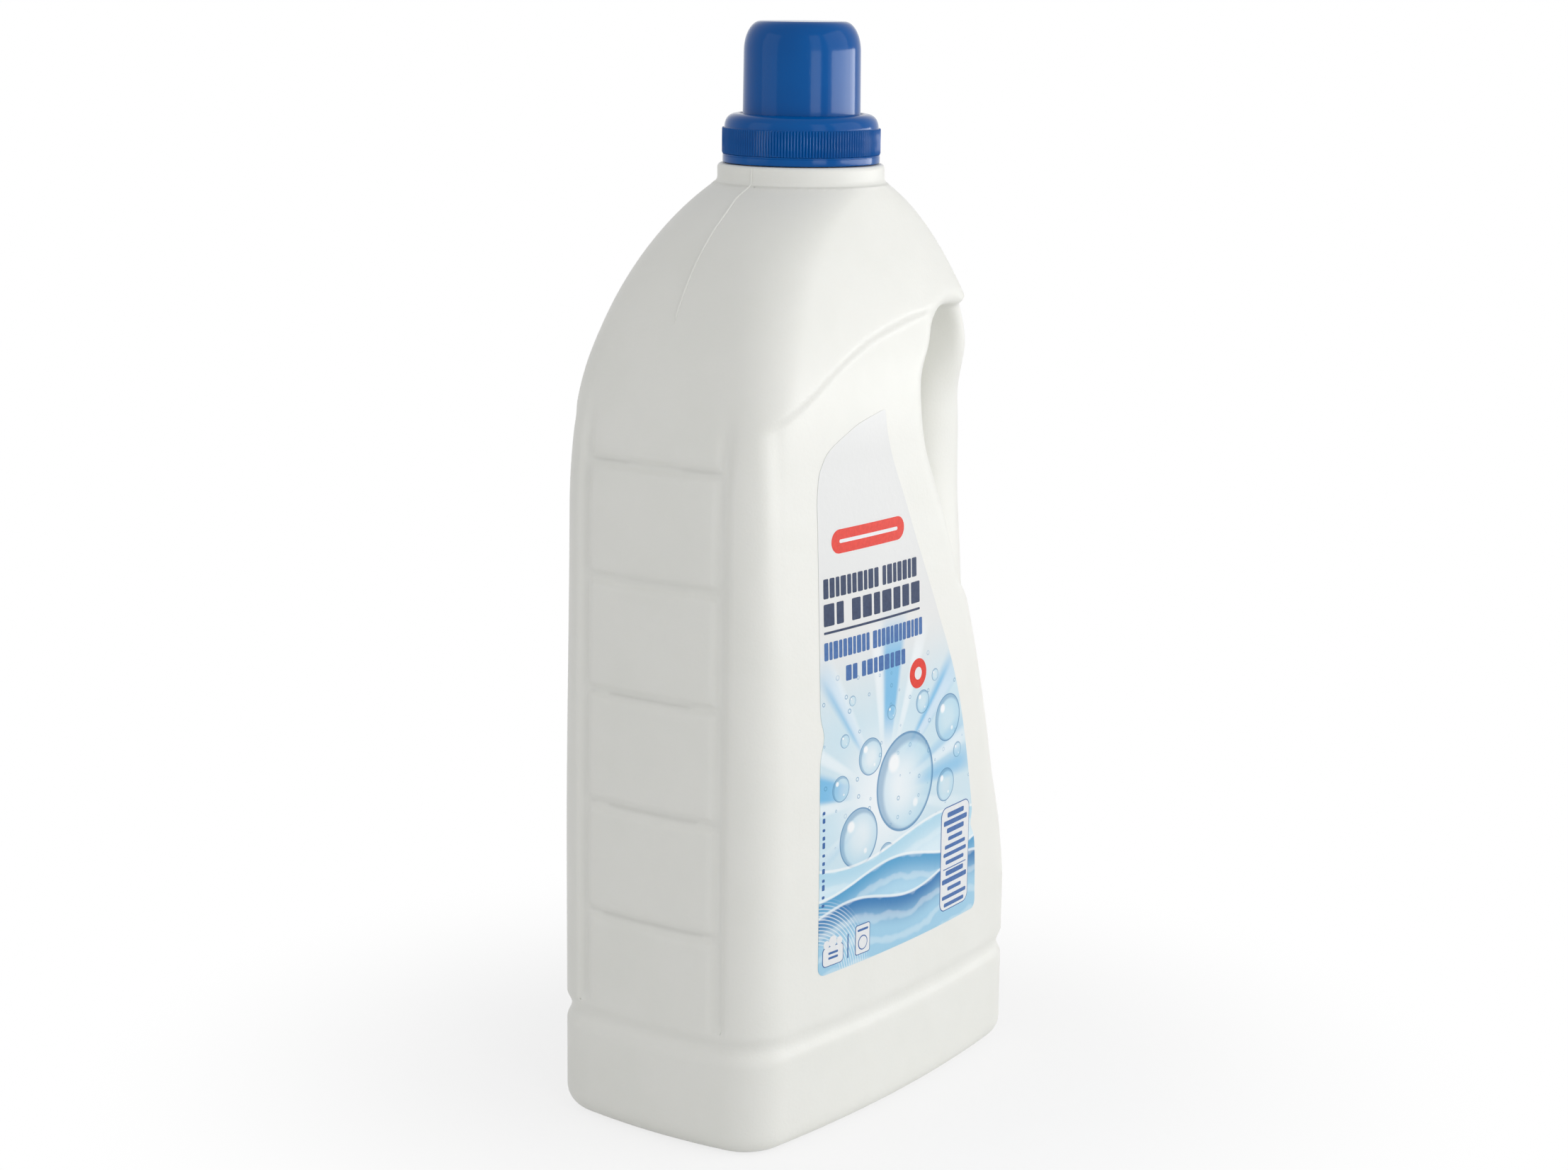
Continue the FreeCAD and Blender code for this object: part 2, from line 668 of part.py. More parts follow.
def water_wire():
    """Lower field of the print: the label's foot under a long wave."""
    left = label_left_x + print_margin
    right = label_right_x - print_margin
    low = label_low_z + print_margin
    high = label_low_z + water_h
    span = right - left
    wave = Part.BSplineCurve()
    shallow = high - water_fall / 3
    deep = high - water_fall
    wave.interpolate([
        V(left, 0, high), V(left + span * 0.3, 0, deep), V(left + span * 0.65, 0, shallow), V(right, 0, deep),
    ])
    closing = Part.makePolygon([V(right, 0, deep), V(right, 0, low), V(left, 0, low), V(left, 0, high)])
    return Part.Wire([wave.toShape()] + closing.Edges)


def make_labels(form):
    """Both films, and the fields of print on the front one."""
    outline_wire = label_wire()
    film_top = glue_h + film_h
    low = film_top + print_gap
    high = low + print_h
    parts = {}
    parts["front_label"] = film(form, outline_wire, -1, glue_h, film_top)
    parts["back_label"] = film(form, outline_wire, 1, glue_h, film_top)
    water = Part.Face(outline_wire).common(Part.Face(water_wire())).Faces[0].OuterWire
    note_x = label_right_x - note_inset - note_w
    note_box = rounded_box(note_x, label_low_z + note_rise, note_w, note_h, label_edge_r)
    note = extrude_y(note_box, 0, -2 * body_half_depth)
    parts["front_print_water"] = film(form, water, -1, low, high).cut(note)
    heading_x = label_left_x + heading_inset
    bars = []
    for i in range(heading_count):
        z = label_low_z + heading_rise - heading_pitch * i
        bars.append(film(form, rounded_box(heading_x, z, heading_w, heading_h, bar_edge_r), -1, low, high))
    parts["front_print_heading"] = Part.makeCompound(bars)
    bar = rounded_box(heading_x, label_low_z + subhead_rise, heading_w, subhead_h, bar_edge_r)
    parts["front_print_subheading"] = film(form, bar, -1, low, high)
    badge_z = label_low_z + badge_rise
    badge_low_x = label_left_x + badge_inset + badge_half_h
    badge_high_x = badge_low_x + badge_w - 2 * badge_half_h
    badge = hull_wire([(badge_low_x, badge_z, badge_half_h), (badge_high_x, badge_z, badge_half_h)], 0)
    parts["front_print_badge"] = film(form, badge, -1, low, high)
    return parts


def main():
    os.makedirs("parts", exist_ok=True)
    outer = body_form(0)
    cavity = body_form(wall)
    parts = {
        "bottle": make_bottle(outer, cavity),
        "pour_spout": make_pour_spout(),
        "seal_ring": make_seal_ring(),
        "dosing_cap": make_dosing_cap(),
    }
    parts.update(make_labels(outer))
    for name, shape in parts.items():
        shape.exportStep("parts/" + name + ".step")
        box = shape.BoundBox
        print(name, "solids", len(shape.Solids), "valid", shape.isValid(), "cm3", round(shape.Volume / 1000, 2),
              "z", round(box.ZMin, 2), round(box.ZMax, 2))
    print("inside volume cm3", round(cavity.Volume / 1000, 1))


main()
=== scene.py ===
import math

import bmesh
import bpy
import numpy as np
from mathutils import Matrix, Vector


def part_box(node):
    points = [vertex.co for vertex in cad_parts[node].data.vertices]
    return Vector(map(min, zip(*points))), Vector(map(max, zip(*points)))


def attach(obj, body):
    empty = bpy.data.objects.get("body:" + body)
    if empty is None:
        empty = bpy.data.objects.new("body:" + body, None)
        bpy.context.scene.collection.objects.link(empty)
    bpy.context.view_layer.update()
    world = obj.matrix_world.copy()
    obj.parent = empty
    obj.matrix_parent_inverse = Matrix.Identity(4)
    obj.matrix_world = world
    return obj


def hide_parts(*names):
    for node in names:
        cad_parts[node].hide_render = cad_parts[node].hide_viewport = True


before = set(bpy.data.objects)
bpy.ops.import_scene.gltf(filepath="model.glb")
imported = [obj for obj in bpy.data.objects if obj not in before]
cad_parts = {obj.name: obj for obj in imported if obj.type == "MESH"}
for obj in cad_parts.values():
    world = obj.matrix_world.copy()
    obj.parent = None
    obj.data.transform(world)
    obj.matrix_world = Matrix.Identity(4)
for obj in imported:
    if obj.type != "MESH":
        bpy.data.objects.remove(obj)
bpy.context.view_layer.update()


# Bottle body: one hollow shell of white polyethylene, blown in a two-part mould. Its grip, grip hole, ring groove,
# pressed cells and label panels all come out of that mould. Below, a point's distance from the finished skin is
# written as one formula, in millimetres, and the skin is the net of points where it is zero.
MM = 0.001
bottle_low, bottle_high = [np.array(corner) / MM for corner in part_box("bottle")]
half_width = bottle_high[0]
half_depth = 49.2
side_swell = 1.9
face_swell = 4.2
corner_r = 17.8
base_r = 8.0
wall = 1.2
neck_rim = bottle_high[2]
neck_low = neck_rim - 18.5
neck_low_r = 29.3
shoulder_break = neck_low - 40.8
shoulder_low = neck_low - 106.3
shoulder_r = 154.0
slope_low = neck_low - 86.3
slope_ease = 0.5
grip_depth = 24.5
grip_foot, grip_low, grip_high, grip_head = 60.0, neck_low - 141.3, neck_low - 61.3, neck_low - 16.3
grip_thin_z, grip_full_z = neck_low - 81.3, neck_low - 26.3
edge_flare = 9.0
hole_discs = [(half_width - 37.6, neck_low - 126.3, 6.5), (half_width - 42.6, neck_low - 59.3, 11.5),
              (half_width - 47.1, neck_low - 59.3, 11.5)]
ring_groove_z = 37.2
cell_y = 28.0
cell_pitch = 38.5
cell_low_z = 75.0
cell_count = 5
net_step = 2.7


def smooth_step(value, low, high):
    """0 below low, 1 above high, and 3t^2 - 2t^3 of the share t between them."""
    t = np.clip((value - low) / (high - low), 0, 1)
    return t * t * (3 - 2 * t)


def soft_max(a, b, radius):
    """The larger of two distances, raised by (radius - gap)^2 / (4 radius) where they differ by less than radius."""
    gap = np.maximum(radius - np.abs(a - b), 0)
    return np.maximum(a, b) + gap * gap / (4 * radius)


def level_distance(x, y, width, depth, side, face, round_r):
    """Distance from a rounded rectangle with bulging sides: from a corner's centre less its radius within the
    corner's sector, and beside it from the centre of the side's or the face's large arc less that arc's radius."""
    x = np.abs(x)
    y = np.abs(y)
    corner_x = width - side - round_r
    corner_y = depth - face - round_r
    side_r = ((side + round_r) ** 2 + corner_y ** 2 - round_r ** 2) / (2 * side)
    face_r = ((face + round_r) ** 2 + corner_x ** 2 - round_r ** 2) / (2 * face)
    side_x = width - side_r
    face_y = depth - face_r
    from_corner = np.hypot(x - corner_x, y - corner_y) - round_r
    from_side = np.hypot(x - side_x, y) - side_r
    from_face = np.hypot(x, y - face_y) - face_r
    beside = (y - corner_y) * (corner_x - side_x) < (x - corner_x) * corner_y
    beyond = (y - corner_y) * corner_x > (x - corner_x) * (corner_y - face_y)
    distance = np.where(beside, from_side, np.where(beyond, from_face, from_corner))
    return np.where(beside & beyond, np.maximum(from_side, from_face), distance)


def shoulder_width(z):
    """Half width at height z: upright, then on a large arc, then on an arc tangent to it that ends at the neck."""
    z = np.clip(z, shoulder_low, neck_low)
    centre_x = half_width - shoulder_r
    lower = centre_x + np.sqrt(shoulder_r ** 2 - (np.minimum(z, shoulder_break) - shoulder_low) ** 2)
    rise = shoulder_break - shoulder_low
    normal = np.array([math.sqrt(shoulder_r ** 2 - rise ** 2), rise]) / shoulder_r
    start = np.array([centre_x + normal[0] * shoulder_r, shoulder_break])
    step = np.array([neck_low_r, neck_low]) - start
    radius = -(step @ step) / (2 * (step @ normal))
    centre = start - radius * normal
    upper = centre[0] + np.sqrt(radius ** 2 - (np.maximum(z, shoulder_break) - centre[1]) ** 2)
    return np.where(z < shoulder_break, lower, upper)


def level_sizes(x, z):
    """Width, depth, bulges and corner radius of the body at height z: they ease into the neck's circle. Away from
    the grip the shoulder is fuller: its sides bulge less there and its corners stay tight for longer."""
    share = np.clip((z - slope_low) / (neck_low - slope_low), 0, 1)
    middle = np.sin(np.pi * share)
    fall = (np.hypot(share, slope_ease) - slope_ease) / (math.hypot(1, slope_ease) - slope_ease)
    full = x < 0
    waist = smooth_step(z, 90, 225) * smooth_step(-z, -262, -228)
    depth = half_depth - (half_depth - neck_low_r) * fall - 1.2 * waist
    side = side_swell * (1 - share) + np.where(full, 0.8, 1.5) * middle + 0.05 * share
    face = face_swell * (1 - share) + np.where(full, 1.0, 4.2) * middle + 0.05 * share
    round_r = corner_r + (neck_low_r - 0.25 - corner_r) * np.where(full, share ** 3, share ** 0.7)
    return shoulder_width(z) - 0.8 * waist, depth, side, face, round_r


def curve_at(value, places, heights):
    """Smooth curve through given points: a cubic between neighbours, with the slopes of their own neighbours."""
    slopes = np.gradient(heights, places)
    i = np.clip(np.searchsorted(places, value) - 1, 0, len(places) - 2)
    run = places[i + 1] - places[i]
    t = (value - places[i]) / run
    inside = np.clip(t, 0, 1)
    beyond = (t - inside) * run * np.where(t > 1, slopes[i + 1], slopes[i])
    t = inside
    start = (2 * t ** 3 - 3 * t ** 2 + 1) * heights[i] + (t ** 3 - 2 * t ** 2 + t) * run * slopes[i]
    end = (3 * t ** 2 - 2 * t ** 3) * heights[i + 1] + (t ** 3 - t ** 2) * run * slopes[i + 1]
    return start + end + beyond


def grip_edge(z):
    """Where the full-depth body ends beside the grip, as an X for each height."""
    from_side = np.array([8, -8, -19, -29, -50, -63, -69.5, -72, -71.5, -66, -52, -22.0])
    heights = np.array([grip_foot - 12, grip_foot + 6, grip_low - 77, grip_low - 42, grip_low + 17, grip_high - 38,
                        grip_high - 24, grip_high - 8, grip_high + 8, grip_high + 25, grip_high + 36, grip_head - 1])
    return half_width + curve_at(z, heights, from_side)


def grip_share(z):
    """1 along the grip, easing as a squared sine to 0 where it merges with the body."""
    below = (z - grip_foot) / (grip_low - grip_foot)
    above = (grip_full_z - z) / (grip_full_z - grip_thin_z)
    return np.sin(np.pi / 2 * np.clip(np.minimum(below, above), 0, 1)) ** 2


def disc_pair(x, z, first, second):
    """Distance from two discs and the stretch that their tangents close between them."""
    run = np.array(second[:2]) - np.array(first[:2])
    length = math.hypot(*run)
    along = ((x - first[0]) * run[0] + (z - first[1]) * run[1]) / length
    across = np.abs((x - first[0]) * run[1] - (z - first[1]) * run[0]) / length
    lean = (first[2] - second[2]) / length
    upright = math.sqrt(1 - lean * lean)
    level = along * upright - across * lean
    beside = across * upright + along * lean - first[2]
    near_second = np.hypot(across, along - length) - second[2]
    return np.where(level < 0, np.hypot(across, along) - first[2],
                    np.where(level > length * upright, near_second, beside))


def groove(distance, half):
    """1 on a groove's line, falling to 0 at half its width as (1 - u^2)^2."""
    u = np.clip(distance / half, -1, 1)
    return (1 - u * u) ** 2


def crease_z(x):
    """Height of the curved crease over the label panel, for each X."""
    return curve_at(x, np.array([-90, -71.3, -56.3, -38.9, -20.2, 0.2, 25]),
                    np.array([233, 244.2, 251.3, 260.6, 268.1, 272.6, 275.5]))


def skin_distance(x, y, z):
    """Distance from the bottle's outer skin, negative inside: the body, cut back beside the grip, joined softly
    with the thinner slab of the grip, less the grip hole, the grooves, the label panels and the dished base."""
    width, depth, side, face, round_r = level_sizes(x, z)
    body = level_distance(x, y, width, depth, side, face, round_r)
    margin = level_distance(x, y, half_width - 16, half_depth - 16, side_swell, face_swell, 10.0)
    lift = 3.0 * smooth_step(-margin, 0, 9)
    out = body + base_r
    under = lift - z + base_r
    body = np.minimum(np.maximum(out, under), 0) + np.hypot(np.maximum(out, 0), np.maximum(under, 0)) - base_r
    share = grip_share(z)
    flare = edge_flare * np.clip((half_depth - np.abs(y)) / (half_depth - grip_depth), 0, 1)
    edge = grip_edge(z)
    slope = grip_edge(z + 1) - edge
    fade = np.where(z > grip_low, 70.0 * (1 - share) ** 3, 0)
    cut = (x - edge - flare - fade) / np.sqrt(1 + np.minimum(slope * slope, 1.5))
    body = soft_max(body, cut, 9.0)
    slab_depth = grip_depth - 2.0 * np.exp(-((z - 210) / 26) ** 2)
    hidden = 1.2 * (1 - share) * smooth_step(z, 240, 270)
    slab_sizes = (width - 0.6 - hidden, depth - hidden + (slab_depth - depth) * share, side, face + (1.0 - face) * share,
                  round_r + (14.0 - round_r) * share)
    slab = level_distance(x, y, *slab_sizes)
    inner_end = grip_edge(z) - 14 - x
    slab = soft_max(np.maximum(slab, np.maximum(grip_foot - z, z - grip_head)), inner_end, 1.0)
    joined = -soft_max(-body, -slab, 1.0 + 13.0 * share)
    first, second, third = hole_discs
    hole = np.minimum(disc_pair(x, z, first, second), disc_pair(x, z, second, third))
    hole = np.minimum(hole, disc_pair(x, z, first, third))
    mouth = 5.0 * smooth_step(np.abs(y), 12, 27)
    joined = soft_max(joined, mouth - hole, 8.0)
    ring_depth = 1.3 + 0.5 * smooth_step(np.abs(x), 60, 80)
    joined = joined + ring_depth * groove(z - ring_groove_z, 5.0)
    fade_in = smooth_step(z, 40, 46) * smooth_step(-z, -252, -230)
    upright = groove(np.abs(y) - cell_y, 3.6) * fade_in
    nearest = np.clip(np.round((z - cell_low_z) / cell_pitch), 0, cell_count - 1)
    level = groove(z - cell_low_z - nearest * cell_pitch, 3.0) * smooth_step(-np.abs(y), -cell_y - 1.5, -cell_y + 1.5)
    pillow = 0.25 * np.cos(np.pi * np.clip((z - cell_low_z) / cell_pitch, -0.5, 4.5)) ** 2
    pillow = pillow * smooth_step(-np.abs(y), -cell_y, -12) * smooth_step(-z, -245, -225)
    pressed = (1.75 * np.maximum(upright, level) + pillow) * smooth_step(-x, 60, 66)
    joined = joined + pressed
    under_crease = smooth_step(crease_z(x) - z, -1.2, 2.6)
    recess = under_crease * smooth_step(z, 140, 244) * smooth_step(x, -75, -67) * smooth_step(np.abs(y), 12, 24)
    recess = recess * (1 - smooth_step(x, 0, 40) * smooth_step(z, 235, 262))
    return joined + 1.8 * recess


def slopes_of(points):
    """Gradient of the skin's distance at each point, from differences over 0.02 mm each way."""
    gradient = np.empty_like(points)
    for axis in range(3):
        step = np.zeros(3)
        step[axis] = 0.02
        gradient[:, axis] = (skin_distance(*(points + step).T) - skin_distance(*(points - step).T)) / 0.04
    return gradient


def pull_to_skin(points, depth, rounds):
    """Moves points along the gradient, by distance over its squared length, until they lie depth under the skin."""
    for _ in range(rounds):
        gradient = slopes_of(points)
        size = np.maximum((gradient ** 2).sum(1), 0.05)
        move = gradient * ((skin_distance(*points.T) + depth) / size)[:, None]
        length = np.maximum(np.linalg.norm(move, axis=1, keepdims=True), 1e-9)
        points = points - move * np.minimum(1, net_step / length)
    return points


def skin_net():
    """Quads over the skin: a point in each grid cell that it passes through, and a quad round each grid edge whose
    two ends lie on different sides of it."""
    axes = [np.arange(low - 2 * net_step, high + 2 * net_step, net_step) for low, high in
            ((-half_width, half_width), (-half_depth, half_depth), (0, neck_low + net_step))]
    x, y, z = np.meshgrid(*axes, indexing="ij")
    inside = skin_distance(x, y, z) < 0
    corners = np.stack([inside[i:len(axes[0]) - 1 + i, j:len(axes[1]) - 1 + j, k:len(axes[2]) - 1 + k]
                        for i in (0, 1) for j in (0, 1) for k in (0, 1)])
    crossed = corners.any(0) & ~corners.all(0)
    index = np.full(crossed.shape, -1)
    index[crossed] = np.arange(crossed.sum())
    cells = np.argwhere(crossed)
    points = np.stack([axes[a][cells[:, a]] for a in range(3)], 1) + net_step / 2
    quads = []
    for axis in range(3):
        near = np.moveaxis(inside, axis, 0)
        cell = np.moveaxis(index, axis, 0)
        i, j, k = np.nonzero(near[:-1, 1:-1, 1:-1] != near[1:, 1:-1, 1:-1])
        ring = np.stack([cell[i, j, k], cell[i, j + 1, k], cell[i, j + 1, k + 1], cell[i, j, k + 1]], 1)
        backwards = ~near[i, j + 1, k + 1] ^ (axis == 1)
        ring[backwards] = ring[backwards][:, ::-1]
        quads.append(ring)
    return points, np.concatenate(quads)


def relax(points, quads, rounds):
    """Evens out a net: each point goes half way to the mean of its neighbours, but only along the skin."""
    sides = np.concatenate([quads, np.roll(quads, -1, 1)]).reshape(2, -1).T
    start, end = np.concatenate([sides, sides[:, ::-1]]).T
    count = np.bincount(start, minlength=len(points))[:, None]
    loose = (points[:, 2] < neck_low + 1)[:, None]
    for _ in range(rounds):
        total = np.stack([np.bincount(start, points[end, a], len(points)) for a in range(3)], 1)
        move = 0.5 * (total / count - points)
        normal = slopes_of(points)
        normal /= np.linalg.norm(normal, axis=1, keepdims=True)
        move -= normal * (move * normal).sum(1, keepdims=True)
        points = pull_to_skin(points + move * loose, 0, 1)
    return points


def split_quads(points, quads):
    """Each quad in four, with new points at the middles of its sides and at its own middle."""
    sides = np.stack([quads, np.roll(quads, -1, 1)], 2).reshape(-1, 2)
    pairs, which = np.unique(np.sort(sides, 1), axis=0, return_inverse=True)
    edge = len(points) + which.reshape(-1, 4)
    centre = len(points) + len(pairs) + np.arange(len(quads))
    parts = [np.stack([quads[:, i], edge[:, i], centre, edge[:, i - 1]], 1) for i in range(4)]
    return np.concatenate([points, points[pairs].mean(1), points[quads].mean(1)]), np.concatenate(parts)


def grid_faces(rows, columns, closed):
    """Quads of a grid of rows by columns, numbered row by row. A closed grid joins its last column to its first."""
    row = np.arange(rows - 1)[:, None] * columns
    column = np.arange(columns if closed else columns - 1)[None, :]
    after = (column + 1) % columns
    quads = np.stack([row + column, row + after, row + columns + after, row + columns + column], 2)
    return quads.reshape(-1, 4)


def revolved(profile, columns):
    """Points and quads of a profile of (radius, height) carried round the Z axis."""
    turn = np.arange(columns) * 2 * np.pi / columns
    radius, height = np.asarray(profile, float).T
    points = np.stack([np.outer(radius, np.cos(turn)), np.outer(radius, np.sin(turn)),
                       np.outer(height, np.ones(columns))], 2)
    return points.reshape(-1, 3), grid_faces(len(radius), columns, True)


def round_corner(centre, radius, start, end, steps):
    """Points on an arc of a profile, from one angle to the other in degrees."""
    angle = np.radians(np.linspace(start, end, steps))
    return [(centre[0] + radius * math.cos(a), centre[1] + radius * math.sin(a)) for a in angle]


bead_low, bead_r, bead_edge = neck_low + 1.5, 28.3, 1.4
bead_top = bead_low + 5.0
neck_r = 23.0
neck_bore_r = 20.8
neck_columns = 144
neck_profile = (
    [(29.2, neck_low + 0.25), (28.85, neck_low + 0.6), (28.55, neck_low + 1.0), (28.38, neck_low + 1.4),
     (28.3, bead_low + 0.5)]
    + round_corner((bead_r - bead_edge, bead_top - bead_edge), bead_edge, 0, 90, 7)
    + [(neck_r + 0.8, bead_top), (neck_r + 0.2, bead_top + 0.2), (neck_r, bead_top + 0.8)]
    + round_corner((neck_r - 0.4, neck_rim - 0.4), 0.4, 0, 90, 4)
    + round_corner((neck_bore_r + 0.3, neck_rim - 0.3), 0.3, 90, 180, 4)
    + [(neck_bore_r, neck_low + 6), (bead_r - wall - bead_edge, neck_low + 5.3), (bead_r - wall, neck_low + 3.9),
       (bead_r - wall + 0.4, neck_low + 1.6)]
)


def make_bottle():
    """Outer skin, inner skin and neck in one closed mesh."""
    points, quads = skin_net()
    points = relax(pull_to_skin(points, 0, 6), quads, 6)
    inner = pull_to_skin(points, wall, 6)
    outer, outer_quads = split_quads(points, quads)
    outer = pull_to_skin(outer, 0, 3)
    neck, neck_quads = revolved(neck_profile, neck_columns)
    shell = bmesh.new()
    for part, faces in ((outer, outer_quads), (inner, quads[:, ::-1])):
        mesh = bpy.data.meshes.new("part")
        mesh.from_pydata((part * MM).tolist(), [], faces.tolist())
        piece = bmesh.new()
        piece.from_mesh(mesh)
        everything = piece.verts[:] + piece.edges[:] + piece.faces[:]
        bmesh.ops.bisect_plane(piece, geom=everything, dist=1e-7, plane_co=(0, 0, neck_low * MM), plane_no=(0, 0, 1),
                               clear_outer=True)
        piece.to_mesh(mesh)
        piece.free()
        shell.from_mesh(mesh)
    loops = [e for e in shell.edges if e.is_boundary]
    outer_loop = [e for e in loops if np.hypot(*e.verts[0].co.xy) > 28.7 * MM]
    inner_loop = [e for e in loops if np.hypot(*e.verts[0].co.xy) <= 28.7 * MM]
    mesh = bpy.data.meshes.new("neck")
    mesh.from_pydata((neck * MM).tolist(), [], neck_quads.tolist())
    before = len(shell.edges)
    shell.from_mesh(mesh)
    shell.edges.ensure_lookup_table()
    ends = [e for e in shell.edges[before:] if e.is_boundary]
    neck_start = [e for e in ends if e.verts[0].co.xy.length > 28.7 * MM]
    neck_end = [e for e in ends if e.verts[0].co.xy.length <= 28.7 * MM]
    bmesh.ops.bridge_loops(shell, edges=outer_loop + neck_start)
    bmesh.ops.bridge_loops(shell, edges=inner_loop + neck_end)
    bmesh.ops.recalc_face_normals(shell, faces=shell.faces[:])
    mesh = bpy.data.meshes.new("bottle_shell")
    shell.to_mesh(mesh)
    shell.free()
    mesh.shade_smooth()
    piece = bpy.data.objects.new("bottle_shell", mesh)
    bpy.context.scene.collection.objects.link(piece)
    return piece


def shaped_piece(name, points, faces, material):
    """Closed piece from points in millimetres: doubled points merged, faces turned outwards, sharp past 40 degrees."""
    mesh = bpy.data.meshes.new(name)
    mesh.from_pydata((np.asarray(points) * MM).tolist(), [], [list(face) for face in faces])
    work = bmesh.new()
    work.from_mesh(mesh)
    bmesh.ops.remove_doubles(work, verts=work.verts[:], dist=0.001 * MM)
    bmesh.ops.recalc_face_normals(work, faces=work.faces[:])
    work.to_mesh(mesh)
    work.free()
    mesh.shade_smooth()
    mesh.set_sharp_from_angle(angle=math.radians(40))
    mesh.materials.append(material)
    piece = bpy.data.objects.new(name, mesh)
    bpy.context.scene.collection.objects.link(piece)
    return piece


def ridge(path, across, out, section, size):
    """Closed tube: at each point of the path, the section's two coordinates along the across and out directions,
    times that point's size, with a flat face at both ends."""
    along, proud = np.asarray(section, float).T
    spread = along[None, :, None] * across[:, None] + proud[None, :, None] * out[:, None]
    points = path[:, None] + size[:, None, None] * spread
    rows, columns = points.shape[:2]
    first = list(range(columns))
    last = [(rows - 1) * columns + i for i in first]
    return points.reshape(-1, 3), grid_faces(rows, columns, True).tolist() + [first, last[::-1]]


def joined(parts):
    """Several sets of points and faces as one."""
    points = []
    faces = []
    count = 0
    for part_points, part_faces in parts:
        points.append(part_points)
        faces += [[corner + count for corner in face] for face in part_faces]
        count += len(part_points)
    return np.concatenate(points), faces


class Field:
    """A value that changes over a surface: a socket in a material's tree, with plain arithmetic."""

    def __init__(self, tree, socket):
        self.tree = tree
        self.socket = socket

    def math(self, operation, *others):
        node = self.tree.nodes.new("ShaderNodeMath")
        node.operation = operation
        for socket, value in zip(node.inputs, (self, *others)):
            if isinstance(value, Field):
                self.tree.links.new(value.socket, socket)
            else:
                socket.default_value = value
        return Field(self.tree, node.outputs[0])

    def __add__(self, other):
        return self.math("ADD", other)

    def __sub__(self, other):
        return self.math("SUBTRACT", other)

    def __rsub__(self, other):
        return self.math("MULTIPLY_ADD", -1.0, other)

    def __mul__(self, other):
        return self.math("MULTIPLY", other)

    def step(self, low, high):
        """0 below low, 1 above high, and a smooth step between."""
        node = self.tree.nodes.new("ShaderNodeMapRange")
        node.interpolation_type = "SMOOTHSTEP"
        node.inputs["From Min"].default_value = low
        node.inputs["From Max"].default_value = high
        self.tree.links.new(self.socket, node.inputs["Value"])
        return Field(self.tree, node.outputs["Result"])


def noise(tree, place, scale, detail=2.0):
    """Smooth noise from 0 to 1 over a place in millimetres."""
    node = tree.nodes.new("ShaderNodeTexNoise")
    node.inputs["Scale"].default_value = scale
    node.inputs["Detail"].default_value = detail
    tree.links.new(place, node.inputs["Vector"])
    return Field(tree, node.outputs[0])


def mixed(share, first, second):
    """A colour between two, by a field from 0 to 1. Each colour is a socket or three numbers."""
    node = share.tree.nodes.new("ShaderNodeMix")
    node.data_type = "RGBA"
    share.tree.links.new(share.socket, node.inputs[0])
    for socket, colour in ((node.inputs[6], first), (node.inputs[7], second)):
        if isinstance(colour, tuple):
            socket.default_value = (*colour, 1)
        else:
            share.tree.links.new(colour, socket)
    return node.outputs[2]


def new_material(name):
    """A material, its shader, and its place in millimetres as a socket and as three fields."""
    material = bpy.data.materials.new(name)
    material.use_nodes = True
    tree = material.node_tree
    coordinates = tree.nodes.new("ShaderNodeTexCoord")
    millimetres = tree.nodes.new("ShaderNodeVectorMath")
    millimetres.operation = "SCALE"
    millimetres.inputs["Scale"].default_value = 1 / MM
    tree.links.new(coordinates.outputs["Object"], millimetres.inputs[0])
    axes = tree.nodes.new("ShaderNodeSeparateXYZ")
    tree.links.new(millimetres.outputs[0], axes.inputs[0])
    fields = [Field(tree, axes.outputs[i]) for i in range(3)]
    return material, tree.nodes["Principled BSDF"], millimetres.outputs[0], fields


